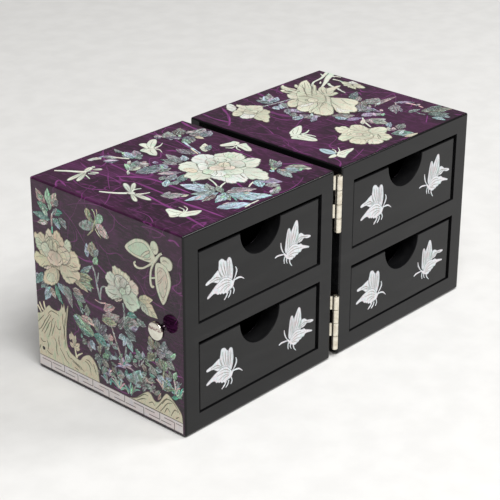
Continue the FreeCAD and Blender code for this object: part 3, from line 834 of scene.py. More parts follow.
def strip(face, path, widths, tone, level=0.0, slot="white_shell", engraved=False):
    """A narrow piece along a path, with its widths shared out evenly: a stem, a feeler or a groove."""
    store = store_of(face, slot)
    first = len(store["points"])
    lift = PIECE_LIFT * (PIECE_LIFTS if engraved else len(store["faces"]) % PIECE_LIFTS)
    top = SHELL + level * LAYER + lift + (EASE / 2 if engraved else 0)
    low = top - EASE if engraved else -SUNK
    edge = tone if engraved else shade(tone, RIM_SHADE)
    section = ((1, low, edge), (CREST, top, tone), (-CREST, top, tone), (-1, low, edge))
    count = len(path)
    own = grain_of(store, path[0], path[0], 1)[2]
    for n, (p, side) in enumerate(zip(path, sides(path))):
        spot = n / (count - 1) * (len(widths) - 1)
        k = min(int(spot), len(widths) - 2)
        half = (widths[k] + (widths[k + 1] - widths[k]) * (spot - k)) / 2
        for across, height, colour in section:
            grain = (abs(p - path[0]), half * across, own)
            add_point(store, face.point(p + side * half * across, height), colour, grain)
    made = ribbon(first, count, len(section))
    end = first + (count - 1) * len(section)
    made += [(first, first + 3, first + 2, first + 1), (end, end + 1, end + 2, end + 3)]
    add_faces(store, made, not face.mirrored)


def engrave(face, points, level, slot="white_shell", width=LINE, tone=GROOVE):
    """A fine dark line cut into a piece of shell."""
    widths = (width * 0.6, width, width * 0.4)
    strip(face, spline(points, steps=4), widths, tone, level, slot, engraved=True)


# Wings without tones of their own get darker by this much, by turns of three.
WING_SHADE = 0.05
# How far an engraved vein lies below the body, in layers of shell.
VEIN_DROP = 0.5


def creature(face, design, at=0, turn=0.0, tone=WHITE, slot="white_shell", level=0):
    """A butterfly from cut wings, engraved veins, and strokes for its body and feelers."""
    paints = [TONES[name] for name in design.get("tones", ())]
    for n, wing in enumerate(design["wings"]):
        outline = spline(placed(wing, at, turn), closed=True, steps=4)
        paint = paints[n] if paints else shade(tone, 1 - WING_SHADE * (n % 3))
        plate(face, outline, paint, level + n, slot, LINE)
    high = level + len(design["wings"])
    for vein in design["veins"]:
        engrave(face, placed(vein, at, turn), high - VEIN_DROP, slot)
    for widths, stroke in design["strokes"]:
        strip(face, spline(placed(stroke, at, turn)), widths, tone, high, slot)


SMALL_WING_STEPS = 32
# How far round its tip a small wing is wavy, how deep the waves are, and how much wider its end is.
WAVY_END = 1.9
WAVE_DEPTH = 0.03
EGG = 0.3


def small_wing(face, root, tip, width, tone, level, rng, slot):
    """An insect's wing or body: egg-shaped, with a wavy end and one engraved line from its root."""
    half = abs(tip - root) / 2
    along = (tip - root) / (2 * half)
    waves = rng.uniform(1.6, 2.6)
    shift = rng.uniform(0, 3)
    outline = []
    for n in range(SMALL_WING_STEPS):
        angle = 2 * math.pi * n / SMALL_WING_STEPS - math.pi
        wave = 1 - abs(math.cos(angle * waves + shift)) if abs(angle) < WAVY_END else 0.0
        x = half * math.cos(angle)
        y = width / 2 * math.sin(angle) * (1 + EGG * math.cos(angle))
        outline.append(root + along * (half + complex(x, y) * (1 - WAVE_DEPTH * wave)))
    plate(face, outline, tone, level, slot, root=root)
    line = (0.4, 1.0, rng.uniform(1.4, 1.7))
    engrave(face, [root + along * half * reach for reach in line], level, slot, FINE)


# Levels, in layers of shell: of the lowest petal of a flower, of each petal above it, and of glints.
FLOWER_LEVEL = 4.0
PETAL_LEVEL = 0.3
GLINT_LEVEL = 1.5
# The small lobes along a petal's edge: how long and how deep each one is.
SCALLOP = 2.5
SCALLOP_DEPTH = 0.34
# How far a petal's tone goes towards the tone of the whole flower, and the lines on each petal.
EVEN_TONE = 0.36
PETAL_SIDES = (-0.42, 0.38)
PETAL_LINE = ((-0.4, 0.6), (0.1, 1.0), (0.6, 1.2))
FLOWER_LINE = 0.42


def scalloped(outline, start):
    """The outline with small round lobes all along it, as the edge of a peony petal has."""
    outward = -1j if winding(outline) > 0 else 1j
    count = len(outline)
    walked = start
    lobed = []
    for n, p in enumerate(outline):
        walked += abs(p - outline[n - 1])
        ahead = unit(outline[(n + 1) % count] - outline[n - 1])
        depth = SCALLOP_DEPTH * (abs(math.sin(math.pi * walked / SCALLOP)) - 1)
        lobed.append(p + ahead * outward * depth)
    return lobed


def flower(face, heart, rows, lines, seed, ground):
    """A flower of cut petals, the back ones first, with fine lines that fan out from its heart."""
    rng = random.Random(seed)
    heart = complex(*heart)
    store_of(face, "white_shell")["plates"] = 0
    for n, (name, *points) in enumerate(rows):
        outline = scalloped(spline(placed(points), closed=True, steps=5), rng.uniform(0, SCALLOP))
        tone = blended(varied(TONES[name], rng, 0.04), TONES[ground], EVEN_TONE)
        level = FLOWER_LEVEL + PETAL_LEVEL * n
        plate(face, outline, tone, level, root=heart)
        middle = sum(outline) / len(outline)
        along = (middle - heart) / abs(middle - heart)
        spots = [(p - middle) / along for p in outline]
        far = max(p.real for p in spots)
        wide = max(abs(p.imag) for p in spots)
        for side in PETAL_SIDES:
            line = [complex(reach * far, side * wide * spread) for reach, spread in PETAL_LINE]
            engrave(face, [middle + along * p for p in line], level, width=FINE)
    for line in lines:
        engrave(face, placed(line), FLOWER_LEVEL + PETAL_LEVEL * len(rows), width=FLOWER_LINE)


# A leaf's points, its midrib and where its side veins start, all along its length, how far on the veins
# end, how wide a leaf has to be for them, and how much higher each next leaf lies.
LEAF_STEPS = 9
MIDRIB = (0.06, 0.5, 0.9)
SIDE_VEINS = (0.22, 0.42, 0.62)
VEIN_REACH = 0.16
VEINED_WIDTH = 3
LEAF_LEVEL = 0.25


def leaf(face, base, tip, width, tone, level, rng, slot="abalone_shell"):
    """A pointed leaf with a wavy margin, a midrib and side veins."""
    length = abs(tip - base)
    along = (tip - base) / length
    bend = rng.uniform(-0.1, 0.1) * length
    wave = rng.uniform(0, 6)

    def margin(t, side):
        """A place along the leaf, from its base to its tip, and across from edge to edge."""
        spread = math.sin(math.pi * t**0.85) ** 0.9 * (1 + 0.1 * math.sin(t * 17 + wave + side))
        return base + along * complex(length * t, side * width / 2 * spread + bend * math.sin(math.pi * t))

    steps = [n / LEAF_STEPS for n in range(LEAF_STEPS + 1)]
    outline = [margin(t, -1) for t in steps] + [margin(t, 1) for t in steps[-2:0:-1]]
    plate(face, outline, tone, level, slot, LINE, root=base)
    groove = DARK_GROOVE if slot == "abalone_shell" else GROOVE
    engrave(face, [margin(t, 0) for t in MIDRIB], level, slot, FINE, groove)
    if width > VEINED_WIDTH:
        for t in SIDE_VEINS:
            for side in (-0.75, 0.75):
                engrave(face, [margin(t, 0), margin(t + VEIN_REACH, side)], level, slot, FINE, groove)


def leaves(face, rows, seed, level=0.0, pale=PALE):
    """Leaves from rows of base, tip, width and tone. Those of the pale tones are white shell."""
    rng = random.Random(seed)
    for n, (u0, v0, u1, v1, width, name) in enumerate(rows):
        own_level = level + LEAF_LEVEL * (n % 5)
        tone = varied(TONES[name], rng, 0.12)
        leaf(face, complex(u0, v0), complex(u1, v1), width, tone, own_level, rng, slot_of(name, pale))


# A fan of leaves: where it starts and how far round it goes, in degrees, and how far from its middle
# the leaves begin.
FAN_START = -10
FAN_SPREAD = 200
FAN_HEART = 0.6


def sprigs(face, rows, seed):
    """Fans of small leaves from rows of middle, reach, count and tones."""
    rng = random.Random(seed)
    for n, (u, v, reach, count, names) in enumerate(rows):
        for k in range(count):
            lean = math.radians(FAN_START + FAN_SPREAD * k / (count - 1) + rng.uniform(-16, 16))
            length = reach * rng.uniform(0.7, 1.1)
            base = complex(u, v) + cmath.rect(FAN_HEART, lean)
            tip = base + cmath.rect(length, lean)
            tone = varied(TONES[names[(n + k) % len(names)]], rng, 0.15)
            leaf(face, base, tip, length * rng.uniform(0.42, 0.6), tone, 0.1 * k, rng)


# Levels, in layers of shell: of stems, of an insect's lowest wing and each one above it, of its body.
STEM_LEVEL = 0.9
WING_LEVEL = 1.2
WING_STEP = 0.3
BODY_LEVEL = 2.6


def stems(face, rows):
    """Stems, twigs, legs and feelers from rows of tone, widths and points."""
    for name, widths, *points in rows:
        strip(face, spline(placed(points)), widths, TONES[name], STEM_LEVEL, slot_of(name))


def flyers(face, rows, seed):
    """Small insects: each a list of wings and body parts from base to tip, and thin strokes."""
    rng = random.Random(seed)
    for name, wings, strokes in rows:
        slot = slot_of(name)
        for n, (u0, v0, u1, v1, width) in enumerate(wings):
            tone = varied(TONES[name], rng)
            level = WING_LEVEL + WING_STEP * n
            small_wing(face, complex(u0, v0), complex(u1, v1), width, tone, level, rng, slot)
        for widths, *points in strokes:
            strip(face, spline(placed(points)), widths, TONES[name], BODY_LEVEL, slot)


# The paper's fibres: how far they stand out, how wide one is for a width of one in its row, the places
# of the points across it, and the paper's own purple.
FIBRE_LIFT = 0.012
FIBRE_WIDTH = 0.5
FIBRE_SECTION = (1, 0.5, 0, -0.5, -1)
PAPER = (0.036, 0.008, 0.031)


def fibres(face, rows):
    """Long soft fibres of the paper, just under the gloss: rows of width, strength and points."""
    store = store_of(face, "purple_lacquer")
    for width, strength, *points in rows:
        path = spline(placed(points), steps=8)
        first = len(store["points"])
        count = len(path)
        core = blended(PAPER, MAGENTA, strength)
        crest = FIBRE_LIFT * (1 + 0.03 * (first % 17))
        for n, (p, side) in enumerate(zip(path, sides(path))):
            taper = min(1.0, 6 * n / count + 0.1, 6 * (count - 1 - n) / count + 0.1)
            half = width * FIBRE_WIDTH * (0.85 + 0.2 * math.sin(n * 0.7)) * taper
            for across in FIBRE_SECTION:
                place = face.point(p + side * half * across, crest if abs(across) < 1 else -FIBRE_LIFT)
                grain = (abs(p - path[0]), half * across, first * GRAIN_STEP)
                add_point(store, place, blended(PAPER, core, (1 - abs(across)) ** 0.8), grain)
        add_faces(store, ribbon(first, count, len(FIBRE_SECTION)), not face.mirrored)


# Settled butterflies seen from the side, with the wing root at 0, 0: wings, veins, body and feelers.
SETTLED_RIGHT = {
    "wings": [
        [(-1, 0.5), (-4.5, 4.8), (-8, 7.4), (-10, 6.7), (-11.6, 5.7), (-13, 4.9), (-15, 4.3), (-16.4, 3.5),
         (-16.4, 2.7), (-15.4, 2.3), (-13, 2.7), (-11.5, 2.5), (-10, 1.7), (-8.4, 1), (-4.5, -0.5)],
        [(0, 0), (-2.4, 5), (-3, 10), (-3.8, 10.6), (-4.8, 11.6), (-5.8, 12.2), (-7.1, 12.2), (-8, 11.5),
         (-8.1, 9.5), (-8.2, 7.3), (-7.2, 4.5), (-5, 1.5)],
        [(0.5, -0.5), (1.3, 2.5), (1.3, 5.5), (0.8, 8), (0.2, 10.1), (-0.6, 11.2), (-1.6, 11.5), (-2.4, 11),
         (-3, 9.8), (-3.1, 7.5), (-2.6, 4), (-1.5, 0)],
        [(0.9, -0.6), (-0.9, 1.0), (-2.6, 2.1), (-4.6, 2.5), (-6.6, 2.2), (-8.5, 1.3), (-9.6, 0.7),
         (-11, -0.1),
         (-12.6, -1.3), (-14.6, -2.7), (-15.6, -3.7), (-15.3, -4.5), (-14, -4.3), (-12, -3.5), (-10.4, -3.5),
         (-9.2, -4.3), (-8.6, -4.7), (-7.8, -4.5), (-7, -5.1), (-6, -4.9), (-5, -5.7), (-4, -5.4), (-3, -6),
         (-1.6, -5), (0, -4.6), (1.4, -3.8), (1.8, -2)],
    ],
    "veins": [
        [(-0.9, 2.2), (-0.9, 6), (-1.2, 9.8)],
        [(-1.9, 2.6), (-2.1, 6), (-2.4, 9.4)],
        [(-3.2, 3.0), (-4.2, 6.5), (-5.0, 10.4)],
        [(-4.2, 3.1), (-5.8, 6.4), (-6.8, 10.2)],
        [(-5.4, 3.0), (-6.8, 4.6), (-7.5, 6.6)],
        [(-6.6, 2.8), (-9.6, 4.4), (-13.8, 3.6)],
        [(-7.0, 2.5), (-9.2, 3.1), (-11.6, 3.1)],
        [(-0.6, -0.4), (-3.6, 1.0), (-7.0, 0.7)],
        [(-0.8, -1.2), (-4.6, -0.5), (-9.4, -1.4)],
        [(-0.8, -2.0), (-4.2, -2.0), (-7.6, -3.5)],
        [(-0.6, -2.6), (-3.0, -3.0), (-5.0, -4.5)],
    ],
    "strokes": [
        ((1.0, 1.9, 0.9), [(2.2, -0.6), (0.8, -2.8), (-1.8, -5.0)]),
        ((0.4, 0.9, 1.0, 0.5), [(2.0, -0.5), (3.2, 1.5), (3.7, 3.5), (2.9, 5.3)]),
        ((0.5, 1.0, 1.0, 0.3), [(1.8, -1.2), (4.2, -0.9), (6.4, -1.2), (8.6, -2.6)]),
        ((0.9, 0.8, 0.4), [(-2.0, -5.4), (-3.0, -7.2), (-4.6, -8.7)]),
        ((0.9, 0.8, 0.4), [(-0.3, -5.2), (-0.6, -7.1), (-1.9, -8.6)]),
        ((0.9, 0.8, 0.4), [(1.2, -4.2), (2.0, -6.0), (1.4, -7.7)]),
    ],
}
SETTLED_LEFT = {
    "wings": [
        [(1.5, 0.5), (5, 5), (8.2, 6.8), (9.9, 7), (11.3, 6.2), (12.5, 5.2), (14.5, 4.6), (16.1, 4),
         (17.1, 3.2),
         (16.5, 2.6), (14.9, 2.6), (13.5, 3), (12.3, 3.5), (11.5, 3.2), (10.5, 2.5), (8.9, 2.3), (8, 2.4),
         (4, 0)],
        [(1, 0), (2.2, 6), (2.8, 9.7), (3.7, 11.3), (4.9, 13.1), (5.8, 14.3), (6.7, 14.6), (7.6, 13.7),
         (8, 11),
         (8.1, 8.5), (8.2, 6.8), (7, 3.5), (4, 0.5)],
        [(0, -0.5), (-1.5, 1.5), (-1.2, 5), (-0.5, 9), (0.1, 11.3), (0.9, 12.2), (1.9, 12), (2.5, 10.6),
         (2.9, 9.4), (3, 6), (1.6, 1)],
        [(-0.6, -0.8), (0.8, 1.5), (2.4, 2.6), (4.2, 3.1), (6.2, 2.8), (8.1, 1.8), (9.9, 1.6), (11.1, 0.6),
         (12.5, -0.1), (14.5, -1), (15.9, -1.8), (15.7, -2.5), (14.1, -2.2), (12.1, -1.8), (10.7, -1.8),
         (10, -2.6), (9.3, -2.8), (8.6, -2.6), (7.5, -3.4), (6.6, -3.3), (5.5, -4.1), (4.6, -4), (3.8, -4.6),
         (2.8, -4.4), (1.4, -3.7), (-0.4, -2)],
    ],
    "veins": [
        [(0.4, 2.0), (0.4, 6), (0.9, 10.6)],
        [(1.5, 2.6), (1.8, 6), (1.9, 9.6)],
        [(2.9, 3.2), (4.2, 8), (5.6, 12.4)],
        [(4.1, 3.6), (5.8, 7), (6.9, 11.6)],
        [(5.3, 3.5), (6.8, 5.0), (7.7, 7.2)],
        [(6.4, 3.4), (9.6, 5.0), (14.6, 3.6)],
        [(7.0, 3.1), (9.2, 3.6), (11.4, 4.2)],
        [(0.6, 0.2), (3.8, 1.6), (7.4, 1.0)],
        [(0.7, -0.9), (5, 0.1), (10.4, -0.6)],
        [(0.9, -1.8), (4.4, -1.5), (8.0, -2.3)],
        [(1.1, -2.4), (3.2, -2.6), (5.2, -3.5)],
    ],
    "strokes": [
        ((1.0, 1.8, 0.9), [(-2.0, 0.3), (0, -1.9), (2.8, -4.2)]),
        ((0.4, 0.8, 0.9, 0.4), [(-2.0, 0.3), (-3.3, 2.4), (-4.1, 4.6), (-4.3, 6.6)]),
        ((0.5, 0.9, 0.9, 0.4), [(-1.9, 0), (-4.4, 0.4), (-6.6, 0.6), (-8.3, 0.2)]),
        ((0.8, 0.7, 0.4), [(-1.5, -1.4), (-1.9, -3.2), (-1.7, -4.8)]),
        ((0.8, 0.7, 0.4), [(0.1, -2.6), (-0.2, -4.0), (0.4, -5.4)]),
        ((0.8, 0.8, 0.4), [(1.9, -4.0), (2.4, -6.0), (3.7, -7.8)]),
    ],
}
# Where each drawer's two butterflies sit: the wing root, in millimetres from the case's lower left
# corner, and how many degrees each is turned.
DRAWER_BUTTERFLIES = {
    ("left", "upper"): ((30.9, 68.6, 0), (68.8, 68.5, 0)),
    ("left", "lower"): ((30.3, 22.7, -8.5), (72.3, 22, 2.5)),
    ("right", "upper"): ((31.8, 70, -5), (71.4, 69.4, 0)),
    ("right", "lower"): ((30.7, 23.1, -11.5), (70.5, 21.5, 9)),
}


def add_drawer_butterflies():
    """Two butterflies that face each other on each drawer's front."""
    for (side, level), (right_facing, left_facing) in DRAWER_BUTTERFLIES.items():
        face = drawer_face(side, level)
        for design, (u, v, turn) in ((SETTLED_RIGHT, right_facing), (SETTLED_LEFT, left_facing)):
            creature(face, design, complex(u, v), turn, DRAWER_WHITE)


# The picture on the ends and backs: across from an end's back edge to its front edge, and up from the
# base. A back shows the same one from its own left edge.
# Flowers: the tone and outline of each petal, the back ones first, and the dark lines between them.
END_GREAT_PEONY = (
    ("cream", (6, 70), (11, 73), (18, 74.4), (25, 72.4), (30, 68), (29, 61), (24, 57.4), (14, 58),
     (7, 60.4), (4, 65)),
    ("cream", (1.2, 71.2), (2.4, 72.6), (4.2, 72.2), (5.4, 73.6), (7.8, 73.5), (9.2, 72.2), (10, 69),
     (8, 65), (5, 63.4), (2.6, 65), (1.9, 68)),
    ("mint", (2.1, 69.2), (4, 70.4), (6.4, 69.8), (8, 67.6), (7.4, 65), (5, 63.8), (3, 64.8), (2.2, 66.8)),
    ("blush", (8.4, 70), (9.4, 73), (10.2, 75.4), (11.6, 77), (13.3, 76.9), (14.6, 75.4), (16, 74.6),
     (17, 72), (14, 68.6), (10, 67.2)),
    ("peach", (15, 74.2), (15.8, 76.8), (17.6, 78), (19.6, 77.3), (20.6, 75.9), (21.8, 75), (22.4, 73.8),
     (23.2, 72), (21, 70), (18, 70), (15.4, 71.2)),
    ("mint", (22.2, 71.4), (23, 73.8), (23.8, 75.1), (25.2, 75.6), (26.8, 75), (27.7, 73.2), (27.4, 70.6),
     (26, 68.8), (23.4, 69.2)),
    ("moss", (9.2, 70), (10.2, 71.8), (12.2, 73.4), (14.2, 73.8), (15.8, 73), (17.6, 73), (19.4, 71.8),
     (20.4, 70), (18, 67), (12, 66.6)),
    ("cream", (25.4, 68.8), (27.2, 70.5), (29.4, 70.8), (31.2, 69.8), (32.4, 68.2), (32.9, 66.4),
     (33.6, 64.6), (32.8, 62.6), (31, 61.2), (28, 61), (24.6, 62), (24, 65.4)),
    ("cream", (18.6, 60.6), (22, 61.8), (26, 61.9), (30, 61.6), (32.2, 61.4), (33.3, 60), (33.1, 58),
     (32.2, 56.7), (30.2, 55.8), (28.4, 54), (26.2, 52.9), (24, 52.6), (21.8, 53.5), (20, 55.3),
     (18.6, 58)),
    ("gold", (0.5, 58), (0.7, 60), (1.6, 62), (3, 62.9), (5, 62.3), (7.4, 62), (10.4, 62), (13, 60),
     (14.4, 58.2), (11, 57.4), (8.6, 56.6), (6.8, 55.4), (5, 55.2), (3.6, 55.9), (1.8, 56.9)),
    ("blush", (7.2, 55.5), (9, 56.8), (11, 57.8), (13, 58), (12.6, 56.4), (10.6, 55.3), (9, 55)),
    ("cream", (6.3, 48.6), (7, 51.4), (8, 54), (10, 55.5), (12, 57.1), (14, 58.2), (16.4, 58.1),
     (18.3, 56.6), (18.4, 54), (17.3, 51), (15.2, 49.1), (13, 47.7), (10.4, 47.4), (8, 47.2)),
    ("mint", (8.8, 50.4), (9.8, 53), (12.2, 54.6), (14.6, 54.6), (15.8, 52.8), (15, 50.6), (12.6, 49.2),
     (10.4, 49.2)),
    ("blush", (18.2, 69), (20, 70.4), (22.6, 71.1), (25, 70.1), (26.8, 68.4), (27.1, 66), (26, 63.4),
     (23.6, 61.8), (21, 62), (19, 65)),
    ("cream", (17.6, 68.4), (19, 69.7), (21, 69.1), (23.4, 67.6), (24.4, 65.4), (23, 62.8), (20.6, 62.2),
     (19, 64.4)),
    ("moss", (11.8, 67), (12, 70.4), (13.6, 72.3), (15.2, 71), (15.3, 68), (14, 66.4)),
    ("cream", (15, 66.8), (15, 70.4), (16.6, 72), (18.3, 70.6), (18, 68), (16.8, 66.4)),
    ("mint", (6, 66.6), (7.6, 69.1), (9.8, 69.9), (11.6, 68.4), (13.1, 66), (12.6, 63.2), (10.6, 61.6),
     (8.6, 62.6), (6.7, 64.4)),
    ("blush", (10.2, 61.6), (11, 64.6), (12.6, 66.4), (14.6, 66.7), (16.6, 66.9), (18.8, 66.6),
     (20.6, 65.4), (21.7, 63), (20.4, 60.7), (18, 59.4), (15, 58.9), (12, 59.4)),
)
END_GREAT_LINES = (
    ((6.2, 67.4), (8.4, 68.9), (10.4, 69.8), (12, 71.4), (13.6, 72.8)),
    ((14.6, 71.6), (14.8, 69.6), (14.6, 67.8)), ((17.8, 70.7), (19.4, 70.4), (21.2, 71)),
    ((12.8, 67.4), (14, 66.8), (15.4, 67), (17, 66.6)), ((12.6, 58.7), (15, 58.9), (17.8, 58.6)),
    ((6.9, 55.5), (9, 56.8), (11.2, 57.9)),
    ((20.4, 61.2), (22.6, 61.8), (25, 63.6), (26.6, 66.4), (26.9, 68)),
    ((26.2, 62.8), (28.8, 62.6), (31.4, 63.4)), ((27.4, 60), (29.8, 60.6), (32, 61.8)),
    ((22, 68), (24, 69.4), (26, 70)), ((16.8, 57.4), (17.3, 55), (16.8, 52.6), (16.2, 51)),
    ((23.4, 55.6), (27, 56.8), (31.4, 57)), ((11, 74.6), (12.4, 73), (14.4, 72.8)),
    ((20.6, 64), (19.4, 62.2), (18, 61.2)), ((11, 63.6), (12.6, 62), (14.6, 61.4)),
)
END_PEONY = (
    ("pearl", (53, 66), (57, 70), (63, 70), (68, 66), (70, 61), (67, 57), (62, 57.6), (56, 57), (52, 60)),
    ("cream", (54.9, 69.2), (54.9, 71.4), (56.4, 72.6), (58, 72.1), (60, 72), (61.3, 71), (61, 68),
     (58, 66.6), (55.6, 67.4)),
    ("cream", (60, 70.6), (61.6, 71.3), (63, 71.3), (64.6, 70.9), (66.1, 69.9), (66.9, 68.4), (66, 65.6),
     (63, 65.2), (60.6, 66.6)),
    ("blush", (65.4, 67.4), (67.4, 68.9), (69, 68.5), (70.2, 67.7), (71.5, 67), (71.9, 65), (71.7, 63),
     (70.6, 61.6), (68.6, 61.4), (66.2, 62.6)),
    ("pearl", (50.2, 65.4), (51.4, 67.5), (53.2, 68.7), (55.4, 68.4), (57.2, 67), (57.4, 64), (56, 61.4),
     (53.4, 61.4), (51.4, 62.4), (50.2, 63.8)),
    ("pearl", (49.5, 59), (50.8, 60.3), (52.4, 61.7), (55.4, 62.3), (58.6, 62.2), (60.8, 60.4),
     (60.9, 57.8), (59.6, 56.6), (58, 55.4), (56, 54.9), (54, 54.6), (52, 55.1), (50.2, 56.6)),
    ("blush", (55.8, 54.8), (58, 55.8), (60.4, 57.3), (60.9, 56.2), (58.6, 54.8), (57, 54.3)),
    ("mint", (60.9, 60), (62.4, 61.6), (65, 62.7), (68, 63.2), (70.5, 62.1), (71.5, 60.2), (72.5, 58.4),
     (72.7, 56.6), (71, 55.1), (69.4, 53.5), (67.4, 52.4), (65, 52.8), (63, 54.2), (61.4, 56.6),
     (60.8, 58.4)),
    ("silver", (55.7, 65.6), (57, 68.2), (59, 69), (61.4, 69), (64, 68.1), (66, 66.5), (67.1, 64),
     (66.6, 61.4), (64.6, 60), (61.6, 60.2), (58.6, 60.6), (56.6, 62.2)),
    ("pearl", (56.4, 64.2), (57, 67), (59.2, 68.1), (60.7, 66.4), (60.4, 63.4), (58.4, 61.8)),
    ("silver", (59.8, 64.2), (60.6, 67.4), (62.8, 68.3), (64.7, 66.8), (63.8, 63.8), (61.6, 62.8)),
    ("pearl", (63.2, 62.8), (64.6, 65.9), (66.4, 66), (67.1, 63.8), (66, 61), (64, 60.4)),
    ("mint", (59.4, 60.4), (60, 62.4), (61.6, 63.3), (63.3, 62.6), (63.7, 60.7), (62.4, 59.4), (60.6, 59.2)),
)
END_PEONY_LINES = (
    ((58.6, 61), (60, 62.6), (61.6, 63.4)), ((63, 63.6), (64.2, 65.4), (65.4, 66.4)),
    ((65, 60.4), (66.4, 62), (67.2, 64), (67, 66)), ((56.4, 66.6), (57.4, 68.2), (59.4, 68.9)),
    ((56, 63.4), (56.8, 65.6), (57.6, 66.8)), ((59.8, 65), (60.2, 67), (60.4, 68.2)),
    ((62.2, 62.4), (62.6, 63), (63, 63.6)), ((56, 55.4), (58, 56.5), (60, 57.6)),
    ((52, 58), (55, 57.6), (58, 58.4)), ((64, 57), (66.4, 56.2), (69, 57)),
)
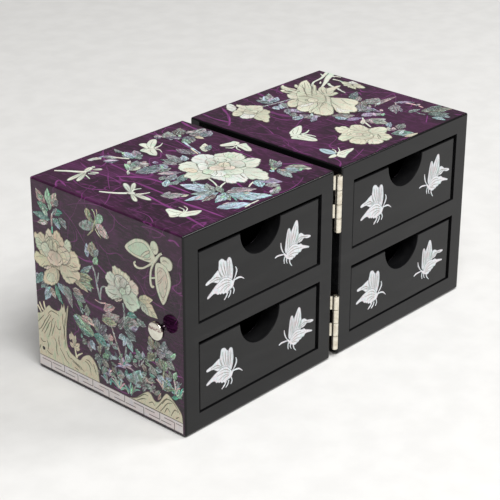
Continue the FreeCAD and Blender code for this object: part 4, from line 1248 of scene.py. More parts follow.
# Leaves: base, tip, width and tone. Stems: tone, widths from end to end, and points.
END_LEAVES = (
    (13.2, 89.4, 12.6, 97.8, 4.6, "jade"), (10.8, 89.4, 4.2, 95.4, 5, "rose"),
    (15.2, 89.2, 18.4, 97, 5, "rose"), (12.6, 86.2, 4.6, 89, 4.4, "sea"), (15.6, 86, 22.4, 88, 3.8, "sea"),
    (13.5, 82, 1.2, 82.4, 4, "sea"), (19.4, 84.8, 24.8, 80.4, 3.8, "grey"), (12, 80, 4.2, 78, 3, "rose"),
    (14.8, 82.8, 20.8, 80.2, 4, "sea"), (11.8, 83.4, 8.2, 87.8, 2.8, "mint"),
    (13.6, 86.8, 13.2, 92.4, 2.8, "jade"), (38.2, 70.6, 38, 78, 3.4, "sky"),
    (42.3, 72, 41.8, 79.8, 7, "dusk"), (43, 72.6, 45.8, 77, 3.4, "grey"),
    (42.3, 68.6, 45, 73, 3.6, "jade"), (33, 61.5, 41.4, 67.4, 3, "mist"),
    (72, 60.2, 83.6, 54.8, 6.4, "cream"), (71.6, 60.8, 80.8, 63.2, 4.6, "cream"),
    (72, 60, 78, 54.4, 4, "pearl"), (6.5, 52.5, 0.4, 45, 4.2, "sea"), (6.5, 51, 8.6, 43.6, 3.8, "rose"),
    (10.5, 49, 4.2, 43.8, 3.6, "grey"), (12, 46.8, 7, 38.2, 5, "sky"),
    (11.4, 46.4, 14.8, 41.4, 3.8, "rose"), (15, 49.5, 19.6, 40, 3.2, "sea"),
    (16.5, 50.5, 21.6, 45.4, 3.6, "sky"), (20, 51, 26.4, 40.4, 5, "dusk"), (23, 51, 26, 45, 3.2, "grey"),
    (27, 49, 36, 46.4, 5.4, "grey"), (27, 51, 34.4, 50, 3.6, "rose"), (30, 47, 34, 43.4, 3, "fern"),
    (31, 60, 40.4, 53.6, 6.4, "fern"), (32, 60, 41.4, 60.4, 4.6, "olive"),
    (28.6, 55.4, 38, 52.6, 3.4, "cream"), (30.6, 57, 42, 55.8, 4, "olive"), (0.4, 50, 5, 49, 3, "sky"),
    (27.2, 37.6, 41.4, 31, 7.4, "fern"), (32, 38, 41, 37.4, 4.6, "rose"),
    (26.6, 36.6, 33, 33.4, 3.4, "sea"), (31, 31.6, 40, 30.2, 3.2, "sea"), (36, 39.6, 36.4, 46, 4, "grey"),
    (34, 39.6, 31.4, 43.4, 3, "ash"), (44, 33, 43.2, 41.4, 5.2, "grey"), (45, 33, 49.8, 39.6, 5, "ash"),
    (40.4, 31.8, 49.8, 28.6, 5.2, "sea"), (46, 33, 51.6, 33.8, 4.4, "grey"),
    (50.4, 33.6, 54.4, 34.4, 4, "rose"), (43, 31, 44.6, 27, 3.6, "olive"),
    (46.6, 42, 58.8, 47.4, 7.6, "dusk"), (46.6, 41.4, 56.8, 42.4, 4.4, "olive"),
    (48, 47, 56, 51, 4.6, "rose"), (59.4, 42.4, 66, 50.2, 6.4, "grey"),
    (62.6, 44.8, 72.4, 47.6, 5, "dusk"), (61.6, 42.6, 69.4, 38, 5, "ash"),
    (58, 40.6, 61.4, 47.4, 4.4, "ash"), (63.4, 50, 70.4, 51, 3.4, "sea"),
    (69.6, 50.4, 76.4, 48.2, 3.4, "grey"), (61.4, 38.6, 57.4, 35.8, 3.2, "sky"),
    (62, 38.4, 60.4, 32.6, 3, "sky"), (63, 38.4, 66.8, 31.6, 4, "sky"),
    (64, 38.8, 68.4, 38.8, 2.8, "grey"), (80, 38, 77.6, 44.4, 4.4, "olive"),
    (84, 38, 82, 43.8, 5.2, "dusk"), (86, 38, 88, 45.4, 5.2, "grey"), (88, 36.8, 94.8, 40.6, 5.2, "grey"),
    (88, 35, 94, 32.6, 4.6, "grey"), (84, 35, 86.6, 30.4, 5, "olive"), (81, 36, 76.6, 31.6, 5, "olive"),
    (79.4, 38, 76.2, 37.2, 3.6, "grey"), (82, 38, 88.4, 38.6, 5.6, "dusk"),
    (33, 27.8, 31.2, 27.8, 2.6, "sea"), (35, 27, 32.6, 23.6, 3.4, "ash"),
    (36.6, 27, 38.4, 21.4, 4, "dusk"), (38, 28, 41.4, 23.4, 3.6, "sky"),
    (44.6, 22, 45.4, 29, 2.4, "olive"), (44, 22, 40.6, 18.4, 3.6, "grey"), (45, 21.4, 43.4, 15, 4, "ash"),
    (46, 21.6, 50.8, 24.4, 3.6, "fern"), (46, 20.4, 50.6, 17.6, 3.6, "dusk"),
    (48, 18, 45.4, 12.4, 3, "grey"), (68.4, 14, 71.4, 24.4, 8, "sky"), (67, 15, 66.4, 21.6, 3.6, "grey"),
    (70.6, 16, 75.4, 20.4, 3.8, "ash"), (82, 25.4, 88.6, 24, 4.2, "sky"), (82, 25, 77, 30, 3.4, "grey"),
    (82.6, 26.4, 83.6, 30.8, 3, "sea"), (74.4, 20, 80.6, 21.4, 2.6, "rose"),
    (80, 23, 76, 20.6, 2.6, "grey"), (24.4, 26.4, 23.6, 22.4, 2.6, "cream"),
    (26.4, 20, 24.4, 27.4, 2.6, "cream"), (26.8, 21, 27.6, 26.4, 2.6, "cream"),
    (27, 20, 30.2, 22.8, 2.8, "cream"), (26.4, 19.4, 23.2, 21.4, 2.6, "cream"),
    (27, 19, 30.4, 19.8, 2.6, "cream"), (9.4, 91.2, 5.2, 92.8, 2.6, "fern"),
    (16.4, 90, 20, 93.8, 3, "grey"), (15.2, 85, 18.4, 89.4, 2.4, "grey"), (16.2, 82, 20.2, 79, 2.2, "sky"),
    (91, 38.2, 94.4, 41.4, 2.6, "spring"), (30, 37.4, 36, 33.4, 1.8, "spring"),
    (33, 33, 39.4, 31, 1.8, "spring"), (36, 38.6, 41.6, 36, 3.2, "blush"),
    (27.4, 37.2, 31, 36, 1.6, "ice"), (65.4, 43.4, 71, 46.4, 3, "violet"),
    (63.4, 37.6, 66.6, 32, 3, "mint"), (80, 14.8, 84.4, 18.6, 2.4, "dusk"),
    (82.4, 13, 84.4, 17.4, 2, "rose"), (75.6, 20.2, 81.4, 21.6, 2.6, "olive"),
    (85.4, 19.6, 91, 27.4, 2.2, "olive"), (88, 19.4, 92, 24.4, 2.2, "grey"),
    (93, 18.6, 98.4, 28, 1.8, "grey"), (94.4, 18.4, 98.4, 21.4, 2.2, "jade"),
    (91.4, 17.6, 96.4, 19.8, 2.2, "sea"), (78.4, 17, 81.6, 20, 2, "ash"),
    (86.6, 20.4, 95.4, 22.6, 2.2, "olive"), (72.4, 13.6, 76.4, 17.6, 2.2, "grey"),
    (35.6, 62.6, 39.4, 65.4, 1.7, "jade"), (6.2, 78.4, 11, 79.8, 1.7, "pink"),
)
END_STEMS = (
    ("rose", (1.1, 1.5, 1.0), (14.8, 85.6), (14.4, 82), (14.6, 79)),
    ("sea", (1.1, 1.1), (14.6, 79), (14.4, 75.4)),
    ("grey", (1.3, 1.0, 1.2, 1.5), (41.2, 67.6), (43, 64), (44.2, 58), (46, 51.6)),
    ("grey", (1.0, 0.6), (44.4, 60), (45.6, 65.4)),
    ("grey", (0.7, 1.1, 1.1), (50, 59.6), (47, 58), (46, 52.4)),
    ("rose", (0.7, 1.1, 0.7), (42.4, 50.4), (46, 50), (49.6, 51)),
    ("grey", (1.3, 1.3, 1.1), (61, 55), (61.8, 50), (61.2, 44)),
    ("dusk", (0.7, 1.2, 1.1, 0.7), (52.6, 41), (55.4, 34), (58, 28), (60, 23)),
    ("grey", (1.2, 1.3, 1.1), (62.4, 33), (61.8, 28), (62.2, 24)),
    ("grey", (1.3, 1.2, 0.9), (69.6, 34.6), (70.8, 30), (70.4, 26)),
    ("grey", (0.6, 1.1, 0.6), (71, 26), (72.4, 28), (74, 30.6)),
    ("olive", (1.0, 1.2, 1.0), (87.6, 32.6), (86.4, 28), (86.6, 25)),
    ("cream", (1.6, 1.2, 1.4), (27.8, 14.2), (27, 17), (26.8, 20.4)),
    ("cream", (0.9, 1.1, 0.5), (27.8, 15), (29.4, 16.6), (32, 18.4)),
    ("cream", (1.0, 1.4, 0.9), (0.8, 33.6), (2.4, 31.8), (3.4, 30.4)),
    ("cream", (1.0, 1.4, 1.0), (2.4, 35.6), (3.8, 33), (5.2, 31.6)),
    ("cream", (0.9, 1.3, 1.0), (5.6, 37), (6, 34.4), (6.8, 32.6)),
)
# Undergrowth: the middle of each fan of leaves, their reach, how many, and their tones.
UNDERGROWTH_TONES = ("sea", "grey", "dusk", "fern", "ash", "sky")
END_SPRIGS = tuple(
    (u, v, reach, count, UNDERGROWTH_TONES)
    for u, v, reach, count in (
        (47, 26.4, 5.6, 5), (52.4, 29.6, 5.2, 5), (66, 26.6, 5.6, 5), (73.6, 30.4, 5.4, 5),
        (61.4, 16.4, 5.4, 5),
        (55, 15.4, 5.2, 5), (76.4, 24.4, 5.0, 4), (86.4, 29, 5.6, 5), (92.6, 27, 5.0, 4),
        (39.6, 36.6, 5.0, 4),
        (51, 21.6, 4.6, 4), (44.4, 13.6, 4.6, 4), (80.6, 33.4, 5.0, 4), (73, 17.6, 4.8, 4),
        (57, 24.6, 4.6, 4),
    )
)
# Grass: the middle of each tuft's base, the spread of its tips, the length of its blades, and their tones.
END_TUFTS = (
    ((60.5, 22), 200, 6.5, 11, ("grey", "rose", "violet", "sea")),
    ((56.5, 9), 150, 6.5, 10, ("grey", "sea", "rose", "fern")),
    ((64, 9), 110, 7.5, 7, ("sea", "grey", "fern")),
    ((49.5, 8.5), 130, 5.0, 7, ("grey", "ash", "sea")),
    ((93.5, 20.5), 110, 7.5, 9, ("fern", "rose", "sea", "sky")),
    ((87, 20), 100, 6.0, 6, ("sea", "grey", "rose")),
    ((97.5, 19), 60, 6.5, 5, ("fern", "sea")),
    ((78.5, 15.5), 130, 5.5, 6, ("ash", "grey", "rose")),
    ((51, 13.5), 170, 4.5, 8, ("grey", "violet", "rose")),
)
# Butterflies: wings, veins, body and feelers, with the widths of the last two.
DARK_BUTTERFLY = {
    "tones": ("grey", "olive", "rose", "fern"),
    "wings": [
        [(43.6, 89.2), (40, 90), (36.4, 88.6), (33.5, 86.2), (34.4, 84.4), (38, 84), (41.4, 85.2),
         (43.4, 87.4)],
        [(43.6, 89.8), (42, 92.4), (41, 95), (38.8, 95.5), (37.7, 93.6), (38.6, 91.2), (41, 89.6)],
        [(44.4, 89.4), (46, 91), (49.4, 89.8), (52.4, 87), (53.3, 85), (51.6, 84), (48.4, 84.6), (46, 86.4)],
        [(44.8, 89.8), (45.2, 92.8), (46.8, 95), (49.4, 94.6), (50, 92.4), (48, 90.4)],
    ],
    "veins": [
        [(42.6, 88.4), (39, 88.2), (35.6, 86)], [(42.6, 87.6), (39.6, 86), (37, 85.2)],
        [(42.4, 90.8), (40.4, 92.4), (39.2, 94.2)], [(45.6, 89.4), (48.4, 87.8), (51.8, 85.4)],
        [(45.4, 88.4), (47.6, 86.4), (49.6, 85.4)], [(45.6, 91), (47, 92.6), (48.6, 93.4)],
        [(37.4, 87.4), (38.4, 86.4), (37.2, 85.8), (36.6, 86.8)],
        [(48, 88.8), (49.4, 88.4), (49, 87.2), (47.8, 87.6)],
    ],
    "strokes": [
        ((0.7, 1.6, 1.2, 0.5), [(45, 93.4), (44.2, 89.6), (42.6, 85.8), (39.2, 82)]),
        ((0.5, 0.6, 0.3), [(44.4, 87), (46, 85), (48.4, 83.4)]),
        ((0.5, 0.5, 0.3), [(44.8, 92.4), (44.2, 94.6), (42.8, 96)]),
        ((0.5, 0.5, 0.3), [(45, 92.4), (46, 95), (45.6, 96.8)]),
    ],
}
GREAT_BUTTERFLY = {
    "tones": ("wing", "wing", "wing", "wing", "wing_mint", "wing_rose", "wing"),
    "wings": [
        [(80, 90), (80.6, 91.8), (82.2, 92.7), (83.8, 92.1), (84.9, 90.4), (85, 88.2), (83.6, 86.4),
         (81.4, 86.4), (80.2, 88.2)],
        [(86.2, 86), (88, 87), (90, 87.2), (92, 86.7), (93.5, 85.1), (93.5, 83), (92.4, 81.4),
         (90.4, 80.8), (88, 81.6), (86.2, 83.8)],
        [(63.9, 84), (64.6, 85.7), (67, 87.9), (70, 90), (73, 90.9), (76, 91.2), (78.6, 90.4),
         (80.6, 88.6), (82.6, 86), (83.4, 83.8), (81.6, 81.8), (78, 81.2), (74, 81.1), (70, 81.3),
         (66, 82.3)],
        [(82.8, 80), (83.8, 82.6), (87, 83.3), (90, 82.2), (91.5, 80), (92.4, 77), (92.4, 74), (91.5, 71),
         (90.3, 68), (89.1, 65), (87.4, 63.2), (85.7, 65), (84.3, 67.6), (83.2, 70.6), (82.7, 74),
         (82.6, 77)],
        [(65.8, 84.3), (67.8, 86.4), (70.8, 88.5), (74, 89.6), (77, 89.4), (79.3, 87.4), (80, 85),
         (78.6, 83.2), (74, 82.5), (69.4, 82.7)],
        [(84.3, 79.6), (86, 81.2), (88.6, 80.7), (90, 78.6), (90.6, 75), (89.9, 71), (88.7, 67.9),
         (87.4, 65.8), (86.1, 67.9), (84.9, 71), (84.3, 75)],
        [(73.9, 82.7), (75.6, 84.9), (77.8, 86.6), (79.8, 87.2), (79.2, 85.8), (77.4, 84.4), (75.6, 82.8)],
    ],
    "veins": [
        [(74.2, 83), (76.2, 85.2), (79, 87)], [(75.4, 82.8), (77.4, 84.5), (79.8, 86)],
        [(80.6, 84), (79.4, 82.8), (76, 82)],
        [(84.4, 73.4), (86.4, 75.4), (88.8, 78.6)], [(84.2, 72.2), (86, 73.6), (87.6, 76)],
        [(89.2, 75.8), (90, 73), (88.6, 71.4)],
        [(85.4, 69), (87.4, 67), (89.2, 68.8)], [(84.4, 77.6), (86, 79.6), (87.6, 79.4)],
        [(81.2, 89.6), (82, 88.4), (83.6, 89)],
        [(87.6, 84.6), (89.4, 85.4), (91.6, 84.6)],
    ],
    "strokes": [
        ((1.2, 1.6, 2.4, 1.4), [(87, 88), (85.4, 86.8), (83.4, 84.4), (81.8, 82.4), (80.4, 81)]),
        ((1.4, 1.1, 1.1, 1.2, 1.2, 0.8),
         [(80.2, 80.9), (78, 79.2), (75, 77.2), (72, 76.3), (70, 76.8), (69.5, 78.1), (70.4, 78.9)]),
        ((1.4, 1.1, 1.1, 1.3, 1.3, 0.9),
         [(81.8, 81.6), (80.5, 79), (79.8, 76), (79.6, 73), (80, 70.4), (81, 69.8), (81.7, 70.6)]),
        ((0.8, 1.0, 0.9), [(80.2, 74), (81.4, 74.4), (82.8, 75)]),
    ],
}
# Rocks, and the lines engraved in them.
END_ROCKS = (
    ((0.3, 6.8), (0.3, 26), (0.3, 29), (3, 30.2), (5, 31.6), (9, 36), (11, 35.4), (13, 35), (16, 35.4),
     (17.8, 37.2), (18.6, 39.8), (19.5, 38.2), (20.4, 41), (21.2, 36.4), (22.2, 38.6), (23.4, 40.6),
     (22.6, 35), (21.4, 28), (21.2, 20), (23, 16.2), (26.6, 14.6), (30, 14), (32.4, 16.8), (36.6, 19.2),
     (40, 17.6), (42.4, 14), (43, 10), (43.4, 6.8)),
    ((64, 6.8), (68, 8.6), (72, 12), (76, 14.8), (78.4, 14), (80.6, 11.6), (83.6, 12.6), (86.4, 16.6),
     (88.6, 18.6), (92, 16.8), (96, 13.4), (98, 10.6), (98.4, 6.8)),
)
END_CONTOURS = (
    ((0.8, 24.4), (2.2, 26), (4, 28), (5.6, 29.8)),
    ((1, 20.2), (3, 22), (4.6, 24.4), (6.2, 27), (8.2, 29.6), (9.6, 31.4)),
    ((3, 19.6), (5, 22.6), (6.8, 25.4), (8.8, 28.4), (10.8, 31.6)),
    ((5, 19.4), (7, 22.6), (8.6, 25.6), (10.2, 28)),
    ((8, 18.6), (9.4, 22), (10.6, 25.6), (11.2, 28.6), (12.8, 30.4)),
    ((10.4, 20), (11.6, 23.4), (12.8, 26.2), (13.6, 29)),
    ((8.6, 31.4), (10.8, 33.6), (14, 33.5), (16.6, 33)),
    ((14, 26.8), (15.4, 25.4), (17, 25.8), (17.2, 27.6)), ((19.2, 34.8), (19, 30), (19.6, 26), (19.2, 21)),
    ((20.7, 33), (20, 28), (20, 22), (20.6, 17)), ((22.2, 39), (21.5, 34), (20.8, 29)),
    ((12.4, 19.6), (13.6, 17), (13.4, 13), (14.4, 10.6)), ((15.8, 22), (15.4, 19), (16.2, 16.4)),
    ((16, 15.4), (18, 13), (20, 10.4), (22.4, 9)), ((2, 16), (3.6, 14.6), (5.8, 15.2)),
    ((6.6, 16.4), (7.6, 13.6), (7, 11.2)), ((6.4, 10.6), (8.4, 9.6), (10.4, 9.8)),
    ((0.8, 9.6), (1.8, 12.2)), ((20.6, 15.4), (22, 13.2), (24, 12)),
    ((23.5, 12.8), (27, 11.4), (30, 10.4), (33, 8.6)), ((24.4, 11.6), (28, 10.4), (31, 9)),
    ((33.6, 14.8), (35.6, 14.4), (37, 12.6), (37.8, 8.6)), ((34.4, 16), (36.8, 15.8), (38.8, 13.8)),
    ((39.6, 15.4), (41.4, 10.4)), ((26, 8.6), (29, 8)),
    ((66.6, 7.8), (70, 9.6), (73.6, 12.4), (76.4, 12.6)), ((69, 7.6), (72.6, 9.8), (75, 10.4)),
    ((81, 7.6), (83.4, 10.4), (86.8, 14.6), (88.8, 16.4)), ((84, 7.6), (86, 10), (88.8, 13.6), (92, 14.8)),
    ((86.8, 8), (88.6, 11), (90.4, 9.4)), ((85.4, 12), (88.4, 15.6), (92.6, 15.4), (96.6, 11)),
    ((91, 8), (93.4, 12), (95.6, 11.4)), ((94, 7.6), (96, 9.4)), ((76.6, 9), (79, 10.4), (80.4, 9)),
)
# Fibres of the paper: width, strength and points.
END_FIBRES = (
    (0.8, 0.5, (25, 92.6), (33, 96), (42, 98.4), (52, 99), (60, 94.4), (66, 93.4)),
    (0.7, 0.45, (22, 90), (30, 84.6), (37, 77)),
    (1.1, 0.6, (74, 97), (82, 98), (90, 97)),
    (1.8, 0.8, (91, 95.6), (94.6, 96.4), (98, 94.6)),
    (0.9, 0.6, (92.4, 73.8), (96, 72), (99, 73)),
    (0.8, 0.5, (68, 72), (73, 68), (78, 63), (90, 61)),
    (1.3, 0.75, (28, 69.8), (36, 68.4), (44, 69.4), (51, 66.4), (58, 67.6)),
    (1.8, 0.7, (64, 31), (72, 32.4), (80, 31.6), (88, 30), (99, 30.6)),
    (1.1, 0.8, (53, 8.6), (58, 7.8), (63, 8.2)),
    (0.8, 0.5, (74, 71.4), (79, 75), (84, 76)),
    (0.7, 0.4, (2, 66), (0.6, 60), (3, 55)),
    (0.8, 0.5, (46, 80), (52, 77), (58, 79), (63, 77.6)),
    (0.7, 0.45, (28, 44), (33, 40), (40, 42)),
)
# The fret border: its ends and edges, the heights where its dark lines turn, their width, the spacing of
# the points along its outline, its uprights, which stand on the lower edge and hang from the upper one by
# turns, and the lines at each upright, measured across from it.
FRET_START = 0.4
FRET_END = 98.4
FRET_LOW = 1.3
FRET_HIGH = 6.7
FRET_TURN_LOW = 3.1
FRET_TURN_HIGH = 5.2
FRET_LINE = 0.42
FRET_SPACING = 4
FRET_LEVEL = 0.5
FRET_TONE = (0.75, 0.705, 0.685)
FRET_GROOVE = (0.24, 0.21, 0.20)
FRET_UPRIGHTS = (9, 18.5, 28, 38.5, 49.6, 60.3, 73, 83.5, 93)
FRET_PATTERNS = (
    (
        ((0, FRET_LOW), (0, FRET_TURN_HIGH)),
        ((-6.5, FRET_TURN_HIGH), (0, FRET_TURN_HIGH)),
        ((0.9, FRET_TURN_HIGH), (7.3, FRET_TURN_HIGH)),
    ),
    (
        ((0, FRET_HIGH), (0, FRET_TURN_LOW)),
        ((-7, FRET_TURN_LOW), (0, FRET_TURN_LOW)),
        ((0.7, FRET_TURN_LOW), (7.4, FRET_TURN_LOW)),
    ),
)


def add_fret(face):
    """A border of shell with a meander of thin dark lines."""
    ends = (FRET_START, FRET_END)
    corners = [complex(u, FRET_LOW) for u in ends] + [complex(u, FRET_HIGH) for u in reversed(ends)]
    outline = []
    for start, end in following(corners):
        pieces = max(2, int(abs(end - start) / FRET_SPACING))
        outline += [start + (end - start) * k / pieces for k in range(pieces)]
    plate(face, outline, FRET_TONE, FRET_LEVEL, "fret_shell", FINE)
    widths = (FRET_LINE, FRET_LINE)
    for n, upright in enumerate(FRET_UPRIGHTS):
        for line in FRET_PATTERNS[n % 2]:
            spots = [complex(min(upright + u, FRET_END - FRET_START), v) for u, v in line]
            strip(face, spots, widths, FRET_GROOVE, FRET_LEVEL, "fret_shell", engraved=True)


BLADE_WIDTHS = (0.7, 1.4, 1.1, 0.3)
BLADE_LEVEL = 0.2


def add_tufts(face, tufts, seed):
    """Tufts of thin curved blades."""
    rng = random.Random(seed)
    for base, spread, length, count, names in tufts:
        for n in range(count):
            lean = math.radians(90 + spread * (n / (count - 1) - 0.5) + rng.uniform(-8, 8))
            start = complex(*base) + complex(rng.uniform(-1.4, 1.4), rng.uniform(-0.6, 0.6))
            reach = length * rng.uniform(0.6, 1.1)
            tip = start + cmath.rect(reach, lean)
            middle = start + cmath.rect(reach * 0.55, lean) + 1j * reach * 0.12
            tone = varied(TONES[names[n % len(names)]], rng, 0.15)
            level = BLADE_LEVEL + BLADE_LEVEL * (n % 3)
            strip(face, spline([start, middle, tip]), BLADE_WIDTHS, tone, level, "abalone_shell")


ROCK_LEVEL = 1.4
ROCK_RIM = 0.35
ROCK_LINE = 0.55
HOLE_AT = complex(4, 11)
HOLE_RADIUS = 1.05
HOLE_STEPS = 10
HOLE_LEVEL = 1.8
HOLE_RIM = 0.1


def add_rocks(face):
    """Rocks with engraved contours, and one dark hole through them."""
    for outline in END_ROCKS:
        plate(face, spline(placed(outline), steps=3), ROCK, ROCK_LEVEL, rim=ROCK_RIM)
    for line in END_CONTOURS:
        engrave(face, placed(line), ROCK_LEVEL, width=ROCK_LINE, tone=ROCK_GROOVE)
    turns = [2 * math.pi * k / HOLE_STEPS for k in range(HOLE_STEPS)]
    hole = [HOLE_AT + cmath.rect(HOLE_RADIUS, turn) for turn in turns]
    plate(face, hole, HOLE, HOLE_LEVEL, rim=HOLE_RIM)


def add_end_picture(face):
    """Peonies, butterflies and rocks over a fret border."""
    fibres(face, END_FIBRES)
    sprigs(face, END_SPRIGS, 8)
    add_tufts(face, END_TUFTS, 5)
    stems(face, END_STEMS)
    leaves(face, END_LEAVES, 3)
    add_rocks(face)
    flower(face, (16.4, 65.4), END_GREAT_PEONY, END_GREAT_LINES, 11, "cream")
    flower(face, (61.4, 61.8), END_PEONY, END_PEONY_LINES, 12, "pearl")
    creature(face, DARK_BUTTERFLY, tone=TONES["olive"], slot="abalone_shell")
    creature(face, GREAT_BUTTERFLY, tone=TONES["wing"], level=FLOWER_LEVEL)
    add_fret(face)


# The picture on the left case's top: across from its outer edge, and back from its front edge.
LEFT_TOP_PEONY = (
    ("white", (50, 42), (54, 52), (62, 56), (72, 58), (80, 52), (84, 46), (83, 38), (80, 33), (74, 26),
     (66, 24.6), (60, 28), (57, 34), (52, 39)),
    ("white", (46.3, 40.5), (47.8, 42), (48.3, 43.9), (47.4, 45.8), (48.6, 47.4), (50.5, 48.3),
     (52.8, 48.6), (55, 47), (57.2, 43.9), (57.9, 40.9), (57, 37.3), (53.9, 36.7), (51.2, 37.8),
     (49.4, 38.9), (47.4, 39.3)),
    ("white", (52.4, 52.6), (53, 55), (54.3, 56.6), (56.4, 58), (57.3, 59.2), (59.5, 59), (62.6, 58.5),
     (63.9, 56.4), (64, 53.4), (61.6, 49.6), (58.8, 46.4), (55, 46.4), (53, 48.3), (52.6, 50.3)),
    ("peach", (53.6, 52), (55, 53.6), (57, 53), (58.4, 50), (58, 47), (55.6, 45.6), (53.6, 47.6)),
    ("snow", (63.7, 56.4), (65.2, 58.8), (67.1, 60), (69, 60.7), (71.2, 60.9), (73.5, 60.4), (75, 58.8),
     (76.3, 56.8), (76.6, 54.9), (76, 53), (72.8, 52), (69, 51), (65.2, 50.2), (63.2, 52.2)),
    ("white", (75.7, 53.7), (76.9, 54.9), (78.8, 55.4), (80.8, 54.3), (82.6, 53.3), (84.6, 52.7),
     (85.4, 51.1), (86.7, 50.2), (86.8, 48.5), (87.4, 46.9), (87, 44.7), (85.7, 42.2), (83.3, 40.6),
     (79.5, 40.4), (76.2, 43.6), (75, 47.7), (75.2, 50.7)),
    ("mint", (79.4, 50.6), (81.6, 51.4), (83.8, 50), (84.2, 47.4), (82.4, 45), (80, 45.4), (78.8, 48)),
    ("white", (79, 40.6), (82.6, 40.7), (85.3, 40.4), (87.2, 38.8), (88, 36.8), (88.4, 34.9), (87.2, 33.5),
     (84.8, 32), (82.6, 30.5), (79.9, 29.8), (77.6, 30.1), (76.2, 32.6), (76.6, 35.2), (77.6, 38.6)),
    ("snow", (83, 39.6), (85, 40), (86.8, 38.6), (87.2, 37), (85.4, 36.2), (83.4, 37.2)),
    ("white", (77.5, 30.2), (78.9, 28.1), (79, 25.8), (78.2, 23.9), (78.2, 22), (77.4, 20), (75.4, 18.4),
     (73.9, 16.2), (72, 15.3), (70.3, 16.2), (69.2, 18.2), (68.4, 20.1), (66.6, 20.8), (67, 24.3),
     (69, 28.5), (72, 31.6), (75, 32.2)),
    ("snow", (55.5, 36.6), (55.7, 33), (56.4, 29.6), (56.1, 26.9), (57, 24.5), (58.8, 23.3), (60.3, 23.8),
     (61, 21.8), (62.6, 21.1), (64.8, 21.8), (66.9, 23), (68.6, 25.8), (70, 28.8), (69.2, 32),
     (65.4, 35.4), (60.7, 37.4), (57.6, 37.6)),
    ("mint", (59.6, 32.8), (61.4, 35), (63.8, 34.6), (64.6, 32), (62.8, 29.8), (60.4, 30.4)),
    ("snow", (58.6, 46.9), (60.3, 49.4), (62.2, 52), (65.2, 52.8), (67.3, 50.7), (66.7, 48.3),
     (63.7, 45.8), (61.4, 44.3), (59, 43.7)),
    ("silver", (65.8, 50), (68.2, 52.4), (70.9, 53.6), (73.6, 52.7), (74.8, 50.3), (72.8, 47.9),
     (69.7, 46.2), (66.9, 47)),
    ("white", (72.6, 50.7), (74.6, 52.8), (76.6, 52.4), (78.2, 50), (79, 46.9), (77.8, 43.7), (75, 42.9),
     (72.6, 44.9), (71.8, 47.7)),
    ("silver", (73.7, 42.4), (76.5, 44.1), (79.4, 42.5), (80.4, 39.4), (78.9, 35.8), (76.5, 33.9),
     (73.8, 34.7), (72.6, 37.9), (72.6, 40.5)),
    ("white", (63.5, 36.4), (66.7, 38.2), (69.7, 37.7), (72.2, 35.6), (73, 32.6), (71.2, 29.8), (68.6, 29),
     (66, 30.1), (63.5, 32.6)),
    ("snow", (57.5, 38.6), (59.9, 40.7), (62.9, 40.7), (65.4, 38.6), (65, 35.1), (62.6, 33.2),
     (59.4, 33.5), (57.5, 35.6)),
    ("mint", (57.5, 43.9), (60.3, 45.6), (62.8, 43.9), (63.1, 41.3), (61.1, 39.2), (58.4, 38.8),
     (56.7, 41.3)),
    ("blush", (62, 43.9), (64.8, 46), (68.2, 44.9), (69.6, 41.7), (67.5, 38.8), (64.1, 39.2), (62, 41.3)),
    ("cream", (68, 43.9), (71.2, 45.7), (74.1, 44), (73.6, 40.8), (70.9, 38.8), (68.4, 40.4)),
    ("blush", (67.3, 39.6), (70.5, 40.1), (73, 38.8), (72.2, 35.9), (69.4, 35.3), (67.3, 37.1)),
)
LEFT_TOP_LINES = (
    ((61.4, 50.3), (62.2, 51.8), (63.7, 53.4)), ((61.6, 43.7), (62.9, 45.1), (65.2, 45.8)),
    ((60.8, 38), (62.4, 39.2), (63.8, 40.4)), ((69, 40.9), (70.5, 42.4), (72.4, 43.9), (73.9, 44.7)),
    ((70.5, 37.9), (72.4, 39.8), (75, 42.4)), ((68.6, 46.2), (71.2, 48.1), (71.6, 50.7)),
    ((75, 33.7), (77.3, 34.5), (78.8, 36)), ((64.6, 47.6), (66.8, 49.4), (68, 51)),
    ((69.4, 42.6), (68.4, 41), (69, 39.4)), ((58.6, 36.6), (60.6, 37.2), (62, 38.2)),
    ((85.6, 44.4), (86, 42.4), (84.6, 41)), ((65.6, 24), (66.6, 27), (67.6, 29)),
    ((76.4, 47.6), (75.6, 45), (73.8, 45.6)),
)
